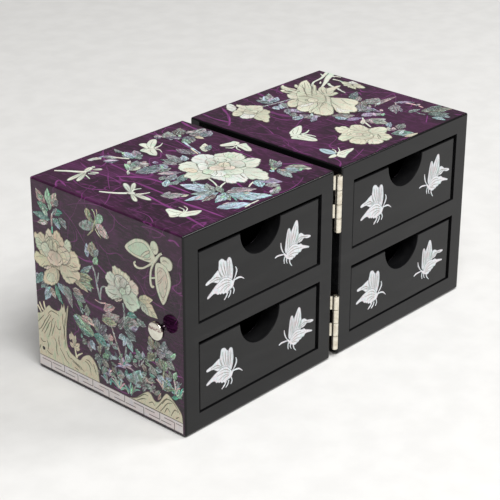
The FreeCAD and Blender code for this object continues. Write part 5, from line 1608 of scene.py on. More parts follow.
LEFT_TOP_LEAVES = (
    (37.6, 91.4, 31.4, 94.8, 3.0, "white"), (37, 90.6, 36.4, 94.6, 2.6, "pearl"),
    (36, 88.4, 42, 83.4, 4.6, "ash"), (39, 91.6, 43.8, 87.4, 3.2, "grey"),
    (49.4, 89, 50.4, 96, 2.6, "grey"), (49, 80, 46.6, 87, 4.6, "mist"), (50, 80, 50.6, 89.8, 5, "sky"),
    (51, 81, 55.6, 87.4, 4.8, "mauve"), (49, 81, 50.6, 76.6, 3.4, "mist"),
    (50.4, 79.6, 54.6, 80.6, 3.4, "ash"), (36, 70.4, 43.8, 79.2, 5.6, "mist"),
    (37, 70, 44, 70.6, 3.6, "pearl"), (41, 71, 49.8, 73.6, 6.6, "mauve"), (42, 72, 47.6, 77, 4.4, "grey"),
    (50.6, 67.6, 52.6, 70.4, 3, "violet"), (36, 66.4, 50.4, 60.4, 8, "grey"), (40, 65, 51, 66, 5, "ash"),
    (44, 60.6, 52, 58.4, 4, "grey"), (51.6, 66, 49.4, 59, 4, "sky"), (53.6, 66.4, 56.6, 59, 4, "mauve"),
    (60, 59.4, 56, 67.4, 4.4, "grey"), (61, 60, 62.6, 73, 5.2, "grey"), (62, 60, 66.8, 66, 4.2, "sky"),
    (58, 62, 55.6, 70, 3.2, "ash"), (73.4, 63, 70.4, 74.4, 6, "ash"),
    (73.4, 62.4, 69.4, 68.8, 3.4, "grey"), (42.4, 58, 51.4, 51, 5, "mauve"),
    (37.6, 52, 43, 53.4, 3.4, "grey"), (39, 49.4, 48, 51.4, 5, "grey"), (42, 44, 50.4, 48.6, 5, "mist"),
    (33.6, 44.6, 41, 49.6, 4, "sky"), (36.4, 45, 45, 45, 3.4, "mist"), (78.4, 84.4, 84.6, 93.6, 7, "grey"),
    (84, 86, 92.4, 92.6, 6.6, "ash"), (77, 88.4, 83, 81.6, 4.6, "ash"), (88, 80.6, 100.4, 83, 8.6, "grey"),
    (89.4, 83, 92.4, 87, 4, "mauve"), (91, 76, 100, 78.6, 6.4, "grey"), (88.6, 79, 89.8, 73.4, 3, "cream"),
    (79.6, 74, 82.8, 81, 4.6, "mist"), (82.6, 82, 87.4, 77, 5, "ash"), (86, 79, 82.4, 74.4, 3.6, "grey"),
    (77.6, 61, 85.6, 69, 5, "pearl"), (79.6, 61.4, 86, 65.4, 3.6, "grey"),
    (74.4, 90, 78, 94.6, 4, "mauve"), (25, 39, 33.8, 31.4, 6.6, "mauve"),
    (26.4, 38, 31.4, 39, 3.4, "grey"), (30.4, 32.4, 34.6, 30, 2.8, "white"),
    (46.4, 24.4, 40, 41.4, 8.6, "sky"), (44.6, 24, 49.6, 33.6, 4.6, "grey"), (42, 29, 47.6, 40, 4, "ash"),
    (45.6, 22, 28, 26.8, 5.4, "sky"), (43, 21.4, 33, 20.4, 4.4, "ash"), (45.6, 24, 35.4, 30, 5, "mist"),
    (47.4, 19.6, 36, 15.2, 5.4, "sky"), (47, 21, 42.4, 11.6, 4, "mist"), (46.6, 20.6, 51, 28, 3.8, "grey"),
    (47, 17.4, 59.8, 1.8, 8.8, "sky"), (47.6, 19.4, 60.6, 12, 6.4, "mauve"),
    (49, 12, 46.4, 8, 3.2, "white"), (49.4, 17.4, 52, 20.4, 3, "white"), (51, 19, 57, 18, 4.4, "grey"),
    (32, 10.6, 46.8, 2.2, 7, "sky"), (34.6, 11, 44.6, 8.4, 3.6, "mauve"), (52, 13, 50, 5.4, 3.6, "mauve"),
    (68.4, 19.4, 63.4, 11.6, 5.4, "sky"), (68.4, 19, 74.8, 8.8, 6.6, "violet"),
    (66, 12.4, 71.6, 7.6, 5, "grey"), (60, 2.8, 70.6, 7, 4, "mist"), (85, 21.4, 81.4, 8.8, 5.4, "mist"),
    (85, 20.4, 88.6, 11.6, 4.6, "grey"), (88, 19.6, 96.4, 9.6, 7.4, "grey"),
    (88, 18.6, 90.4, 11.6, 4, "sky"), (84, 22.4, 91.8, 32, 5.4, "mist"), (85, 23, 93.4, 27, 4.4, "grey"),
    (83.4, 21.4, 85.6, 25, 3, "cream"), (82.4, 22, 80, 21, 2.6, "sky"),
)
# Small bright pieces among the darker leaves, in the same kind of rows: painted highlights that stand in for
# the shell's glints.
LEFT_TOP_GLINTS = (
    (33.7, 92.4, 31.8, 95.2, 1.8, "flash"), (36, 91.4, 38.6, 92.4, 1.3, "flash"),
    (41, 90, 43.2, 86, 1.7, "flash"), (42, 77, 45.2, 79.2, 1.8, "flash"),
    (45, 73, 48.5, 69.6, 1.8, "flash"), (49, 19.2, 52.2, 17, 1.6, "flash"),
    (93.6, 12, 96.2, 9.6, 1.8, "flash"), (35.8, 88.2, 41.2, 83.6, 2.4, "lilac"),
    (48.2, 87, 50, 90.2, 1.7, "spring"), (37.4, 73, 40.4, 78.4, 2.6, "spring"),
    (48.4, 61.4, 50.6, 63.4, 1.5, "spring"), (83, 84, 85.2, 86.2, 1.7, "spring"),
    (41, 16.4, 45.2, 18, 1.6, "spring"), (66, 4.6, 69.2, 6.2, 1.6, "spring"),
    (90, 11.6, 93.2, 13.2, 1.6, "spring"), (82, 21, 84.2, 23.2, 1.5, "spring"),
    (38, 71.2, 42.2, 73, 1.8, "ice"), (33, 67.6, 35.2, 69.8, 1.6, "silver"),
    (42, 58, 47, 55.2, 2.0, "pink"), (44, 55, 48, 52.6, 1.8, "pink"), (75, 94, 78.2, 90, 2.0, "pink"),
    (32, 24.2, 38.2, 26, 1.8, "pink"), (36, 11, 42, 9, 1.8, "pink"), (54, 15, 58.2, 13, 1.8, "pink"),
    (90, 86, 93, 83, 2.0, "pink"), (41.4, 76, 44, 79.2, 1.7, "peach"), (53.4, 14.6, 57.6, 12, 2.0, "pink"),
    (52.4, 13.4, 55, 11, 1.4, "gold"), (56.6, 7, 59, 3, 1.8, "ice"), (61, 4.2, 65, 6.2, 1.6, "lilac"),
    (84.6, 19.6, 86.8, 16.8, 1.6, "blush"),
)
LEFT_TOP_STEMS = (
    ("pearl", (0.8, 1.3, 1.1), (42, 91), (44, 86), (46.6, 81.4)),
    ("violet", (0.9, 1.2, 0.6), (38, 93.4), (41.6, 92), (43.6, 88.6)),
    ("white", (0.6, 1.1, 0.9), (32.6, 67.8), (34.4, 70), (36.4, 71.4)),
    ("sky", (0.9, 1.4, 1.2), (74.6, 61.4), (77, 69.6), (79.8, 78)),
    ("cream", (1.0, 1.2, 1.0), (73.4, 62), (74.6, 65.6), (76, 69)),
    ("white", (0.9, 1.1, 0.8), (54.6, 37.4), (52.4, 31), (47.4, 22.6)),
    ("white", (0.8, 1.2, 0.8), (56.6, 28), (51.4, 26.2), (47.4, 22.2)),
    ("white", (0.7, 1.0, 0.6), (41.4, 2), (46, 2.6), (51.4, 2.8)),
    ("white", (0.7, 1.2, 0.8), (59.8, 16.4), (62.4, 17.8), (65.6, 19)),
    ("sea", (0.8, 1.2, 0.6), (44.4, 9.6), (45.6, 12), (47, 16)),
)
# Insects: tone, then wings and body parts as base, tip and width, then strokes with their widths.
LEFT_TOP_FLYERS = (
    ("white", (
        (21, 84.6, 8.2, 82.8, 2.8), (20.6, 83.6, 10.8, 78.8, 2.6), (20, 84.2, 27, 86.6, 3.2),
        (22.4, 83, 24.4, 78.6, 2), (25, 84, 28.8, 81, 2.4), (26.8, 85, 28.4, 87, 1.8),
    ), (
        ((2.4, 2.2, 1.8, 1.0), (21.4, 84), (18.6, 88), (16, 92), (12.4, 96.4)),
        ((0.9, 0.7), (18.6, 81.4), (16.8, 76.8)),
        ((0.8, 0.6), (20.6, 82), (22.4, 79)),
    )),
    ("white", (
        (18, 50.6, 24.2, 61.4, 2.8), (19, 51, 27.4, 58.2, 2.4), (17.6, 50, 12.8, 41.8, 2.4),
        (18, 50, 18.4, 38, 3), (17, 53, 18.8, 48.6, 3),
    ), (
        ((2.2, 2.0, 1.7, 1.0), (18, 51), (15, 54), (12.4, 57.6), (9.6, 62.6)),
        ((1.2, 0.8, 0.4), (19.4, 51.4), (22, 52.4), (25, 51)),
        ((1.2, 0.8, 0.4), (18.8, 48), (21.4, 46), (24.4, 44.8)),
    )),
)
LEFT_TOP_BUTTERFLIES = (
    {
        "wings": [
            [(18.6, 17.6), (14, 16.6), (11, 18.6), (12.8, 21.6), (14.4, 24.6), (15.6, 26), (17.6, 25.6),
             (18.4, 22.6),
             (19, 19.4)],
            [(14, 16.6), (18, 18), (22, 16.6), (25.6, 13.8), (24.4, 12.6), (22, 12), (20, 12), (18, 13.2),
             (15.4, 14)],
        ],
        "veins": [[(17.6, 18), (16, 21), (15.8, 24.4)], [(17, 17.8), (14, 18.2), (12.6, 19)],
                  [(17.6, 16), (20.4, 15), (23.8, 13.6)]],
        "strokes": [
            ((0.9, 0.7, 0.3), [(18.6, 17.8), (21, 20), (21.3, 23.4)]),
            ((0.9, 0.7, 0.3), [(19, 17.4), (22.8, 19.6), (23.8, 22.8)]),
        ],
    },
    {
        "wings": [
            [(61.5, 84.5), (61.6, 88), (62.4, 91.4), (65, 91.2), (66, 88.6), (64.8, 86)],
            [(62.5, 84), (64, 87.5), (67.5, 90.4), (71, 91.6), (73, 90.2), (71, 87.4), (67.5, 84.8),
             (64.5, 83.2)],
            [(62.5, 83.6), (60, 85.8), (56.8, 84.8), (57.2, 81), (56.6, 77.6), (58, 74.8), (60.4, 76.4),
             (62.6, 79.6), (64, 82.6)],
        ],
        "veins": [[(64, 84.6), (67, 87.4), (70.6, 89.6)], [(61.6, 82.6), (59.4, 80), (58.4, 77)],
                  [(61, 84), (59, 84.4), (57.8, 83.8)]],
        "strokes": [
            ((0.6, 1.8, 1.2), [(66, 84.6), (63.4, 83), (60.4, 79.6)]),
            ((1.0, 0.8, 0.4), [(64.6, 82.8), (68, 82.6), (71.6, 84.2)]),
            ((1.0, 0.8, 0.4), [(63.8, 81.8), (64.4, 79), (62.8, 75.8)]),
        ],
    },
    {
        "wings": [
            [(93.5, 56), (90.5, 57.8), (88, 60.4), (89, 62.2), (92, 61.6), (95, 60.8), (97.2, 60.6),
             (97.8, 57.4), (96, 56)],
            [(94.5, 56), (99, 54.4), (97.6, 51.4), (95.6, 47.4), (93.4, 45.4), (91.8, 47.4), (92.4, 51),
             (93, 54)],
        ],
        "veins": [[(94, 57), (91.6, 58.8), (89.6, 60.8)], [(95, 57.4), (96.4, 59)],
                  [(95, 54.4), (94.6, 50.6), (93.4, 47.4)]],
        "strokes": [
            ((0.9, 0.8, 0.4), [(93, 54.8), (91, 52.8), (90.2, 49.8)]),
            ((0.8, 0.7, 0.3), [(92.6, 55.4), (90, 55.2), (88, 57.6)]),
        ],
    },
)
LEFT_TOP_FIBRES = (
    (2.6, 0.85, (27, 70), (31, 65.6), (34.6, 60), (36.4, 52), (36.6, 42), (36.4, 30)),
    (2.6, 0.75, (27.4, 0.6), (27, 14), (26.6, 26), (28, 42), (28.4, 60)),
    (2.4, 0.8, (13.8, 0.4), (15.6, 9), (18, 22), (19.8, 34), (21.4, 45)),
    (1.3, 0.6, (23.6, 62), (24.8, 72), (24, 84), (28, 96)),
    (1.3, 0.65, (13.6, 61), (9, 68), (8.6, 75), (11.4, 83)),
    (1.8, 0.7, (0.6, 82), (3.4, 85), (6.4, 86), (3.4, 78)),
    (1.8, 0.75, (30, 84), (36, 86.4), (40, 93), (46, 99)),
    (0.9, 0.5, (14.6, 61), (22, 70), (29, 77.4), (33, 83)),
    (2.4, 0.7, (96.6, 84), (97.4, 91), (99.4, 99)),
    (1.6, 0.6, (88.8, 99), (91, 93), (94, 88)),
    (2.0, 0.6, (91, 24), (96, 19), (100.4, 12)),
    (1.8, 0.65, (87.4, 33), (88.6, 45), (89.4, 56)),
    (1.2, 0.5, (70, 60), (72, 74), (71, 92)),
    (1.4, 0.55, (60, 8), (66, 1), (78, 2.4), (86, 6)),
    (1.4, 0.5, (46, 66), (53, 74), (58, 72), (64, 78)),
    (1.0, 0.45, (1, 50), (6, 53), (13, 58), (22, 60)),
    (1.2, 0.5, (44, 30), (42, 44), (44, 60), (50, 72)),
    (1.0, 0.45, (2, 20), (6, 28), (5, 42)),
)
# The picture on the right case's top: across from its inner edge, and back from its front edge.
RIGHT_TOP_GREAT_PEONY = (
    ("bone", (53, 75), (58, 82), (63, 87), (69, 87), (74, 82), (74, 76), (72.4, 71), (71, 67), (69.4, 63),
     (64, 58), (58, 56), (52, 58), (49, 66), (50, 72)),
    ("bone", (60.3, 86.7), (59.8, 89.9), (60.3, 92.3), (62.1, 93.2), (63.2, 91.7), (63.2, 86.7), (64, 83),
     (61.7, 83.4)),
    ("bone", (63, 92.2), (63.9, 95), (65.7, 96.8), (68.6, 97.8), (67.6, 94.8), (67.6, 92.1), (68.2, 88),
     (65.7, 86), (63.4, 88)),
    ("bone", (69.8, 90.3), (72, 92.8), (73.9, 93), (73.4, 90.8), (72, 88), (70.2, 87.2)),
    ("bone", (55.2, 79.1), (54.8, 81.3), (56.2, 83.8), (58.5, 86), (60, 85.5), (61, 83.6), (60.6, 80),
     (58.5, 77.8)),
    ("ivory", (59.4, 80), (63.9, 84), (69.3, 84), (71, 77), (71.4, 71), (67.5, 66), (63, 62.9), (59.4, 66),
     (55.4, 69.6), (55, 74.6), (57.2, 77.6)),
    ("bone", (69, 88.2), (72, 90.1), (75.6, 92.3), (79.2, 93.7), (83, 93.4), (82, 91.2), (80.1, 88.3),
     (76.5, 84.2), (72.9, 80.9), (69.3, 78.6), (67.2, 81.3), (67.2, 84.9)),
    ("ivory", (68, 76.4), (72.9, 80.8), (77.9, 84.8), (80.4, 86.7), (79.4, 83.4), (75.6, 79.8), (72, 76.7),
     (69.1, 74)),
    ("bone", (70.2, 70.1), (72, 73.9), (73.8, 77.5), (76.5, 79.7), (79.9, 80.6), (81.1, 79.1),
     (80.1, 77.1), (83.3, 76.2), (87.9, 75.1), (88.3, 73.6), (84.6, 72.6), (81, 71.7), (77.4, 69.8),
     (73.8, 68.4), (71.4, 68)),
    ("ivory", (71.4, 68.3), (73.8, 69.3), (77.4, 70.2), (79, 68.7), (78.4, 67.2), (75.2, 66.6),
     (72.4, 67.1)),
    ("snow", (81, 65.4), (81.7, 69.2), (83.2, 73), (84.6, 71.9), (83, 68.3), (82.1, 65.4)),
    ("ivory", (44.9, 72.8), (46.3, 75.2), (48.2, 77), (50.2, 78.4), (52.7, 78.8), (55, 78.4), (56, 76.4),
     (54.4, 74.2), (51.8, 72.4), (49.6, 70.6), (47.2, 69.8), (45.5, 70.9)),
    ("bone", (44, 63.3), (44.2, 66), (45.9, 68.5), (48.7, 69.9), (52.2, 70.5), (55.8, 69.4), (59.6, 66.8),
     (57.8, 63.8), (54, 61.8), (49.6, 60.7), (46.2, 60.9), (44.6, 61.9)),
    ("ivory", (45.1, 58.4), (46.9, 61.3), (54, 62.3), (60, 64.4), (60.5, 62.2), (54, 58.9), (48, 58)),
    ("ivory", (45.9, 56.6), (47.8, 58.6), (52.2, 59.6), (57.6, 61.4), (62.3, 62.2), (61.9, 58.7),
     (59.5, 55), (56.3, 51.9), (52.7, 49.2), (49.5, 49.2), (47.1, 51.1), (46.4, 53.9)),
    ("bone", (55.3, 48.1), (56.6, 51.4), (59.4, 55), (62.1, 58.6), (64.8, 61.3), (67.5, 63.5), (70, 65.9),
     (72.2, 63.3), (75.3, 58.4), (76.2, 53.9), (75.3, 51), (72.9, 49.2), (69.3, 48.3), (67.5, 46.1),
     (65.7, 43.8), (63, 42.5), (61.1, 43.4), (60.3, 44.7), (59, 43.4), (57.5, 44.3), (56.2, 46.2)),
    ("snow", (56, 49), (58.4, 52.4), (61, 54.6), (60.6, 51.4), (61.6, 48), (63.4, 45.4), (62, 44.6),
     (59.4, 46.4), (57, 47)),
    ("snow", (48.6, 68.4), (51, 69.6), (54.4, 68.6), (58, 68), (57.4, 66.2), (53.6, 65.8), (50.2, 66.8)),
    ("bone", (57.4, 70), (59.6, 72.8), (62.8, 73), (64.2, 70), (62.2, 67.2), (59, 67.2)),
)
RIGHT_TOP_GREAT_LINES = (
    ((53.1, 75), (55.4, 76.4), (57.2, 76.4)), ((57.2, 71.4), (58.5, 72.8), (59.9, 72.8)),
    ((58.1, 64.2), (59.4, 65.6), (60.3, 66)),
    ((53.6, 59.3), (56.7, 61.1), (60.3, 62.9), (63.9, 64.2), (67.5, 66.9), (70.2, 70.1)),
    ((46.4, 58.8), (48.4, 60.4), (52, 61)), ((63.9, 76.4), (69.3, 82.7), (74.7, 87.2), (79.2, 91.7)),
    ((65.7, 74.6), (72, 80.4), (77.4, 84.5)), ((66, 79.4), (71, 85), (75.4, 90)),
    ((65.7, 90), (66.2, 86.3), (65.7, 82.2)), ((61.6, 90.6), (62, 86.6), (63.4, 82.4)),
    ((60, 79), (62.6, 77), (64, 72.6)), ((73.6, 71), (77, 74.6), (80.6, 77)),
    ((72, 71.4), (75, 76), (78, 78.8)), ((66, 62), (63.6, 57), (62, 52)),
    ((72, 60), (69.4, 55), (68.4, 50.6)),
)
RIGHT_TOP_BLOSSOM = (
    ("ivory", (89.8, 72.8), (91.4, 75.2), (92.7, 77.3), (94.9, 77.3), (95.9, 75), (95, 71.6), (93.4, 70.4),
     (91, 70.8)),
    ("snow", (95.4, 74.8), (98.6, 74.3), (98.7, 71.9), (97.7, 69.2), (95.2, 69.4), (94.4, 71.4)),
    ("bone", (97.4, 69.6), (96.8, 65.6), (95, 62.2), (93, 63.1), (91.8, 65.4), (92.6, 68.6), (94.6, 70.4)),
    ("ivory", (91.8, 66), (89.7, 64.5), (89.4, 67.4), (89.4, 70.1), (91, 71.4), (93.2, 70.6), (93, 68.2)),
)
RIGHT_TOP_HALF_PEONY = (
    ("bone", (18, 87), (22, 89), (27, 91), (31, 88.6), (33.6, 84), (32.6, 79), (31, 75), (26, 72),
     (21, 75), (18.4, 79), (18, 83)),
    ("snow", (19.7, 90.7), (20.3, 93.6), (21.8, 95.5), (23.7, 97.4), (25.6, 98.7), (27.2, 98.6),
     (28, 96.8), (27.2, 94.3), (26.2, 92.3), (24, 90.1), (21.4, 89.2), (19.8, 89.5)),
    ("bone", (26.9, 93), (28.8, 94.9), (30, 93.6), (30.8, 90.7), (33.6, 88.5), (35.8, 85.6), (36.9, 83.7),
     (35.2, 81.8), (33.6, 79.9), (32.9, 78), (31, 78.3), (28.5, 80.5), (27.2, 84.4), (26.2, 88.2)),
    ("ivory", (15.7, 84.7), (16.3, 86.3), (18.2, 87.9), (20.2, 89.2), (22.4, 89.5), (23.4, 87.6), (23, 85),
     (21.4, 83.1), (18.9, 82.1), (16.6, 82.8)),
    ("snow", (16, 80.5), (17.3, 81.8), (19.5, 82.5), (22.1, 83.1), (24, 81.2), (24.6, 78.6), (23, 76.1),
     (20.5, 75.4), (17.9, 76.4), (16.3, 78)),
    ("ivory", (20.2, 75.1), (23, 76.7), (25.9, 78), (29.1, 78.6), (32.3, 79.6), (33.9, 79.3), (33.6, 75.4),
     (31.6, 73.8), (30, 73.2), (28.5, 71.3), (26.9, 69.4), (24.6, 68.1), (23.4, 66.8), (21.4, 65.6),
     (19.7, 66.8), (20.3, 69.7), (19.4, 71.6), (19.8, 73.5)),
    ("bone", (22.1, 83.7), (24, 85.6), (25.9, 84.4), (28.5, 83.1), (30, 81.2), (28.5, 79.3), (25.9, 78.3),
     (23.4, 79.3), (22.1, 81.2)),
)
RIGHT_TOP_HALF_LINES = (
    ((22.1, 85.6), (24, 84.7), (24.6, 83.1)), ((25.9, 80.5), (27.8, 79.3), (30, 79.9)),
    ((21.8, 81.2), (24, 79.3), (27.2, 78.3)),
)
RIGHT_TOP_PEONY = (
    ("bone", (30, 22), (35, 30), (42, 31), (46, 27), (50, 19.6), (47, 12), (40, 9), (33, 11), (30, 16)),
    ("bone", (33.6, 30.4), (35.1, 33.3), (36.9, 35.5), (38.7, 36.4), (40.2, 35.1), (42, 34.7),
     (42.9, 32.9), (42.3, 31.1), (40.9, 29.3), (38.4, 27.9), (35.4, 28.2), (34, 28.9)),
    ("ivory", (41.2, 29.7), (43.4, 31.1), (45.6, 32.2), (47.8, 31.5), (49.6, 29.3), (49.8, 26.8),
     (48.9, 24.2), (48.2, 22.1), (45.6, 21.3), (42.7, 22.1), (41.2, 25.3)),
    ("bone", (44.9, 20.3), (47.8, 22.1), (50.7, 22.1), (53.6, 20.6), (55.2, 18.8), (55, 16.6),
     (53.6, 14.8), (51, 13.4), (48.5, 12.6), (45.6, 13.7), (43.8, 16.6)),
    ("ivory", (40.5, 10.1), (42.7, 13), (45.6, 14.5), (48.5, 13.4), (48.9, 10.8), (48.2, 8.7), (46.7, 6.5),
     (44.5, 6.1), (42, 5.8), (40.5, 7.2)),
    ("bone", (31.8, 9.7), (34, 12.3), (36.9, 13.4), (39.8, 11.9), (40.9, 9.4), (40.2, 6.8), (38.4, 5.8),
     (36.2, 5.9), (34, 6.8), (32.9, 8.3)),
    ("ivory", (27.1, 17.4), (28.2, 19.2), (30.4, 20.3), (33.3, 20.3), (35.4, 18.1), (35.1, 14.5),
     (33.3, 11.9), (31.4, 10.8), (29.6, 11.2), (28.2, 13), (27.3, 15.2)),
    ("bone", (25.8, 22.1), (26.4, 24.6), (28.2, 26.1), (30.7, 27.1), (33.6, 27.9), (36.2, 26.8),
     (36.9, 23.9), (35.1, 21.3), (32.2, 20.3), (28.9, 20.3), (26.7, 20.6)),
    ("ivory", (33.3, 25.3), (36.9, 26.8), (40.5, 26.1), (42.7, 23.9), (44.2, 20.3), (43.8, 16.6),
     (42, 14.1), (38.7, 13), (35.4, 14.5), (33.6, 17.4), (32.9, 21.3)),
    ("blush", (35.4, 23.9), (38.4, 24.6), (40.5, 22.8), (40.2, 19.9), (37.6, 18.8), (35.4, 20.3)),
    ("bone", (38.4, 18.8), (40.9, 20.3), (43.1, 18.4), (42.7, 15.2), (40.2, 14.1), (38, 15.9)),
)
RIGHT_TOP_PEONY_LINES = (
    ((37.6, 22.1), (38.7, 22.1), (39.1, 21)), ((39.8, 16.6), (41.2, 16.3), (42, 17.4)),
    ((42, 10.1), (43.8, 12.3), (44.9, 14.5)), ((33.6, 23.9), (35.4, 24.2), (36.9, 25.3)),
)
RIGHT_TOP_LEAVES = (
    (44, 82.4, 41, 92.6, 5, "mist"), (44, 83, 48.4, 93.4, 5, "sky"), (45, 84, 53.4, 94.4, 5, "grey"),
    (44, 84.6, 52.4, 87, 4.4, "sky"), (43, 85, 40, 89.6, 3.6, "ash"), (41.4, 79, 38.6, 73.6, 4.4, "sky"),
    (47.6, 79, 40.4, 73.8, 5.4, "sky"), (48, 79.4, 43, 72, 4.4, "grey"),
    (43, 71.4, 36.4, 66, 4.4, "mauve"), (43.4, 70.4, 45, 61.6, 4.4, "violet"),
    (40.4, 66, 36, 60, 4.4, "grey"), (32.4, 59.4, 39.6, 58, 5, "sky"), (38, 57, 46.4, 52, 5.4, "grey"),
    (36.4, 50, 44.6, 55.4, 3.6, "violet"), (39.6, 62, 43, 56, 4, "ash"), (50, 48.4, 58.8, 40, 7.4, "grey"),
    (49.8, 46, 52, 39.4, 4, "sky"), (50, 38.6, 58.6, 35, 4.2, "violet"), (64, 43, 72.4, 36, 4.4, "ash"),
    (60, 37, 68.4, 34, 5.4, "violet"), (64, 36, 70.6, 29.2, 4.2, "mist"), (55, 31, 65.4, 25, 7.4, "mauve"),
    (58, 29, 61, 20, 6.4, "grey"), (51, 29, 57.4, 33, 2.8, "white"), (66, 40, 74.4, 48.4, 6.4, "grey"),
    (73, 44, 71.6, 33, 3.4, "violet"), (76, 46, 87.4, 47.4, 9, "grey"), (70, 44, 79.4, 50.6, 5, "ash"),
    (76, 41, 95.6, 41.6, 3.6, "mauve"), (76, 56, 87.6, 61.8, 5, "ash"), (75, 52, 82.6, 56.6, 4.4, "grey"),
    (86, 34.4, 75, 26.4, 6.4, "ash"), (87, 37, 95, 29.2, 3.2, "violet"),
    (80.4, 22.4, 88.6, 21, 3.4, "grey"), (83, 9.6, 84.6, 2, 3.8, "sky"), (87, 14, 89, 2, 6.4, "ash"),
    (86, 18.6, 100.6, 9, 8, "ash"), (85, 14, 93.6, 6, 5.6, "ash"), (90, 18, 101, 16.4, 5, "ash"),
    (50.6, 10.4, 59.6, 3, 6.6, "mist"), (51.6, 3, 60.4, 1.2, 3.2, "cream"),
    (54, 9.6, 59.6, 8.4, 4, "grey"), (53, 13.4, 57, 17.4, 3, "white"),
    (54, 12.6, 58.6, 14.6, 3.4, "mauve"), (57, 16.4, 63, 20.4, 3.4, "sky"),
    (58, 12, 66.4, 14.4, 5.4, "ash"), (91.6, 24.4, 93.4, 27, 2.6, "mauve"), (83, 32, 79, 25.6, 3.6, "ash"),
)
# Painted highlights: small bright pieces that stand in for the shell's glints, in the same kind of rows.
RIGHT_TOP_GLINTS = (
    (74.6, 36, 73, 33.2, 2.0, "pink"), (67.4, 29, 71.6, 31, 2.0, "spring"),
    (92.8, 25, 94.4, 26.8, 1.6, "pink"), (56, 12.4, 58.4, 15, 2.2, "pink"),
    (52, 6.4, 58.6, 8.8, 2.2, "ice"), (51.6, 4, 55, 5.4, 1.8, "sky"),
    (56.6, 26.4, 59.6, 31.6, 1.8, "pink"), (60, 26, 64.6, 27.4, 1.6, "silver"),
    (65, 31.4, 68.4, 35.6, 1.8, "lilac"), (45.4, 93.6, 44, 90.4, 1.6, "silver"),
    (49, 91.4, 46.6, 89, 1.6, "ice"), (43.6, 86, 50, 88.2, 1.8, "lilac"),
    (41.6, 74.6, 44.4, 78.6, 1.8, "ice"), (40.6, 66.4, 44.4, 69.4, 1.8, "lilac"),
    (38.6, 58.6, 40.4, 61.4, 1.6, "lilac"), (42.4, 55.2, 46, 58, 1.7, "ice"),
    (41.4, 52, 45.2, 54.6, 1.7, "lilac"), (78.4, 41.4, 83, 42.4, 1.8, "ice"),
    (84, 41.2, 89.4, 41.8, 1.5, "pink"), (73, 41.4, 75.4, 44.4, 1.5, "silver"),
)
RIGHT_TOP_STEMS = (
    ("white", (4.4, 4.0, 3.2, 2.0, 1.2, 1.0), (101.2, 90.6), (96.7, 88.8), (92.2, 86.6), (87.8, 84),
     (83.3, 81.8), (78.8, 79.6), (74, 77)),
    ("white", (2.6, 2.0, 1.6, 1.3, 1.4, 0.9), (101.2, 94), (95.8, 91.8), (91.4, 90), (87.3, 89.4),
     (83.7, 88.8), (80.1, 86.8), (77.4, 84.4)),
    ("white", (1.8, 2.0, 1.4), (87.4, 81.6), (85.6, 78.8), (84.6, 74.6)),
    ("white", (1.5, 0.9, 1.2), (94.3, 84), (94.7, 80.4), (94.2, 77.2)),
    ("pearl", (0.5, 1.3, 0.6), (83.8, 84.6), (85.2, 85.4), (86.8, 86.6)),
    ("white", (1.5, 1.2, 0.5), (94.6, 91.4), (95.6, 93), (96.4, 94.8)),
    ("white", (0.9, 1.1, 0.6), (97, 88), (99, 85.6), (99.6, 83)),
    ("ash", (1.0, 1.4, 1.1), (36.4, 83.4), (45, 81.6), (56, 80)),
    ("pearl", (1.0, 1.4, 1.0), (51, 23.6), (55, 31), (58.6, 35)),
    ("rose", (1.0, 1.4, 0.9), (91, 32.6), (92.4, 27), (91.6, 21.6)),
    ("rose", (0.8, 1.0, 0.6), (83.6, 33.4), (86, 35), (88, 37)),
    ("ash", (1.0, 1.2, 0.8), (84, 14.4), (83.4, 18), (84.6, 21)),
)
RIGHT_TOP_BUTTERFLIES = (
    {
        "wings": [
            [(18, 43), (21, 43.8), (25, 46.6), (28.6, 50), (27.6, 51.2), (23.6, 50.8), (20, 49.6),
             (17, 48.2), (15.4, 46), (14, 44.4)],
            [(18, 43), (14.6, 43.8), (11.8, 42.4), (13, 39.6), (14.4, 36), (15.6, 33), (18, 30.8),
             (20, 33), (20.2, 37), (19.6, 41)],
        ],
        "veins": [[(18, 44.6), (21.6, 46.6), (26, 49.8)], [(17, 45), (19, 47.6), (22, 49.4)],
                  [(18, 41.6), (17.8, 37), (18, 32.6)],
                  [(16.6, 42), (15, 40.6), (15.4, 37)]],
        "strokes": [
            ((1.5, 1.2, 0.5), [(19.6, 42.6), (23, 42.2), (26.8, 43.6)]),
            ((1.5, 1.2, 0.5), [(19.4, 41.4), (21.6, 39), (22.2, 35.2)]),
        ],
    },
    {
        "tones": ("sky", "white", "pearl"),
        "wings": [
            [(11, 13.4), (8.4, 15.4), (8, 18.4), (9, 21.6), (10.8, 23.2), (12.6, 21), (13.2, 17.4),
             (12.4, 14.4)],
            [(11, 12.6), (13.6, 13.6), (18, 13.2), (22.6, 11.8), (20.4, 10.2), (16, 9.2), (12.6, 7.8),
             (10, 6.8), (9, 9.4), (9.4, 11.6)],
            [(10.4, 13.4), (7.6, 13.6), (4.6, 12.4), (6.6, 10.8), (9.2, 11)],
        ],
        "veins": [[(10.8, 14.6), (10.2, 18), (10.8, 21.6)], [(12, 12), (16, 11.8), (20.6, 11.6)],
                  [(11, 11.4), (12.6, 10), (16, 10.2)]],
        "strokes": [
            ((1.0, 0.8, 0.4), [(12.6, 13.4), (15.4, 14.4), (18, 17.6)]),
            ((1.0, 0.8, 0.4), [(12, 14), (14, 16), (14.6, 18.4)]),
        ],
    },
)
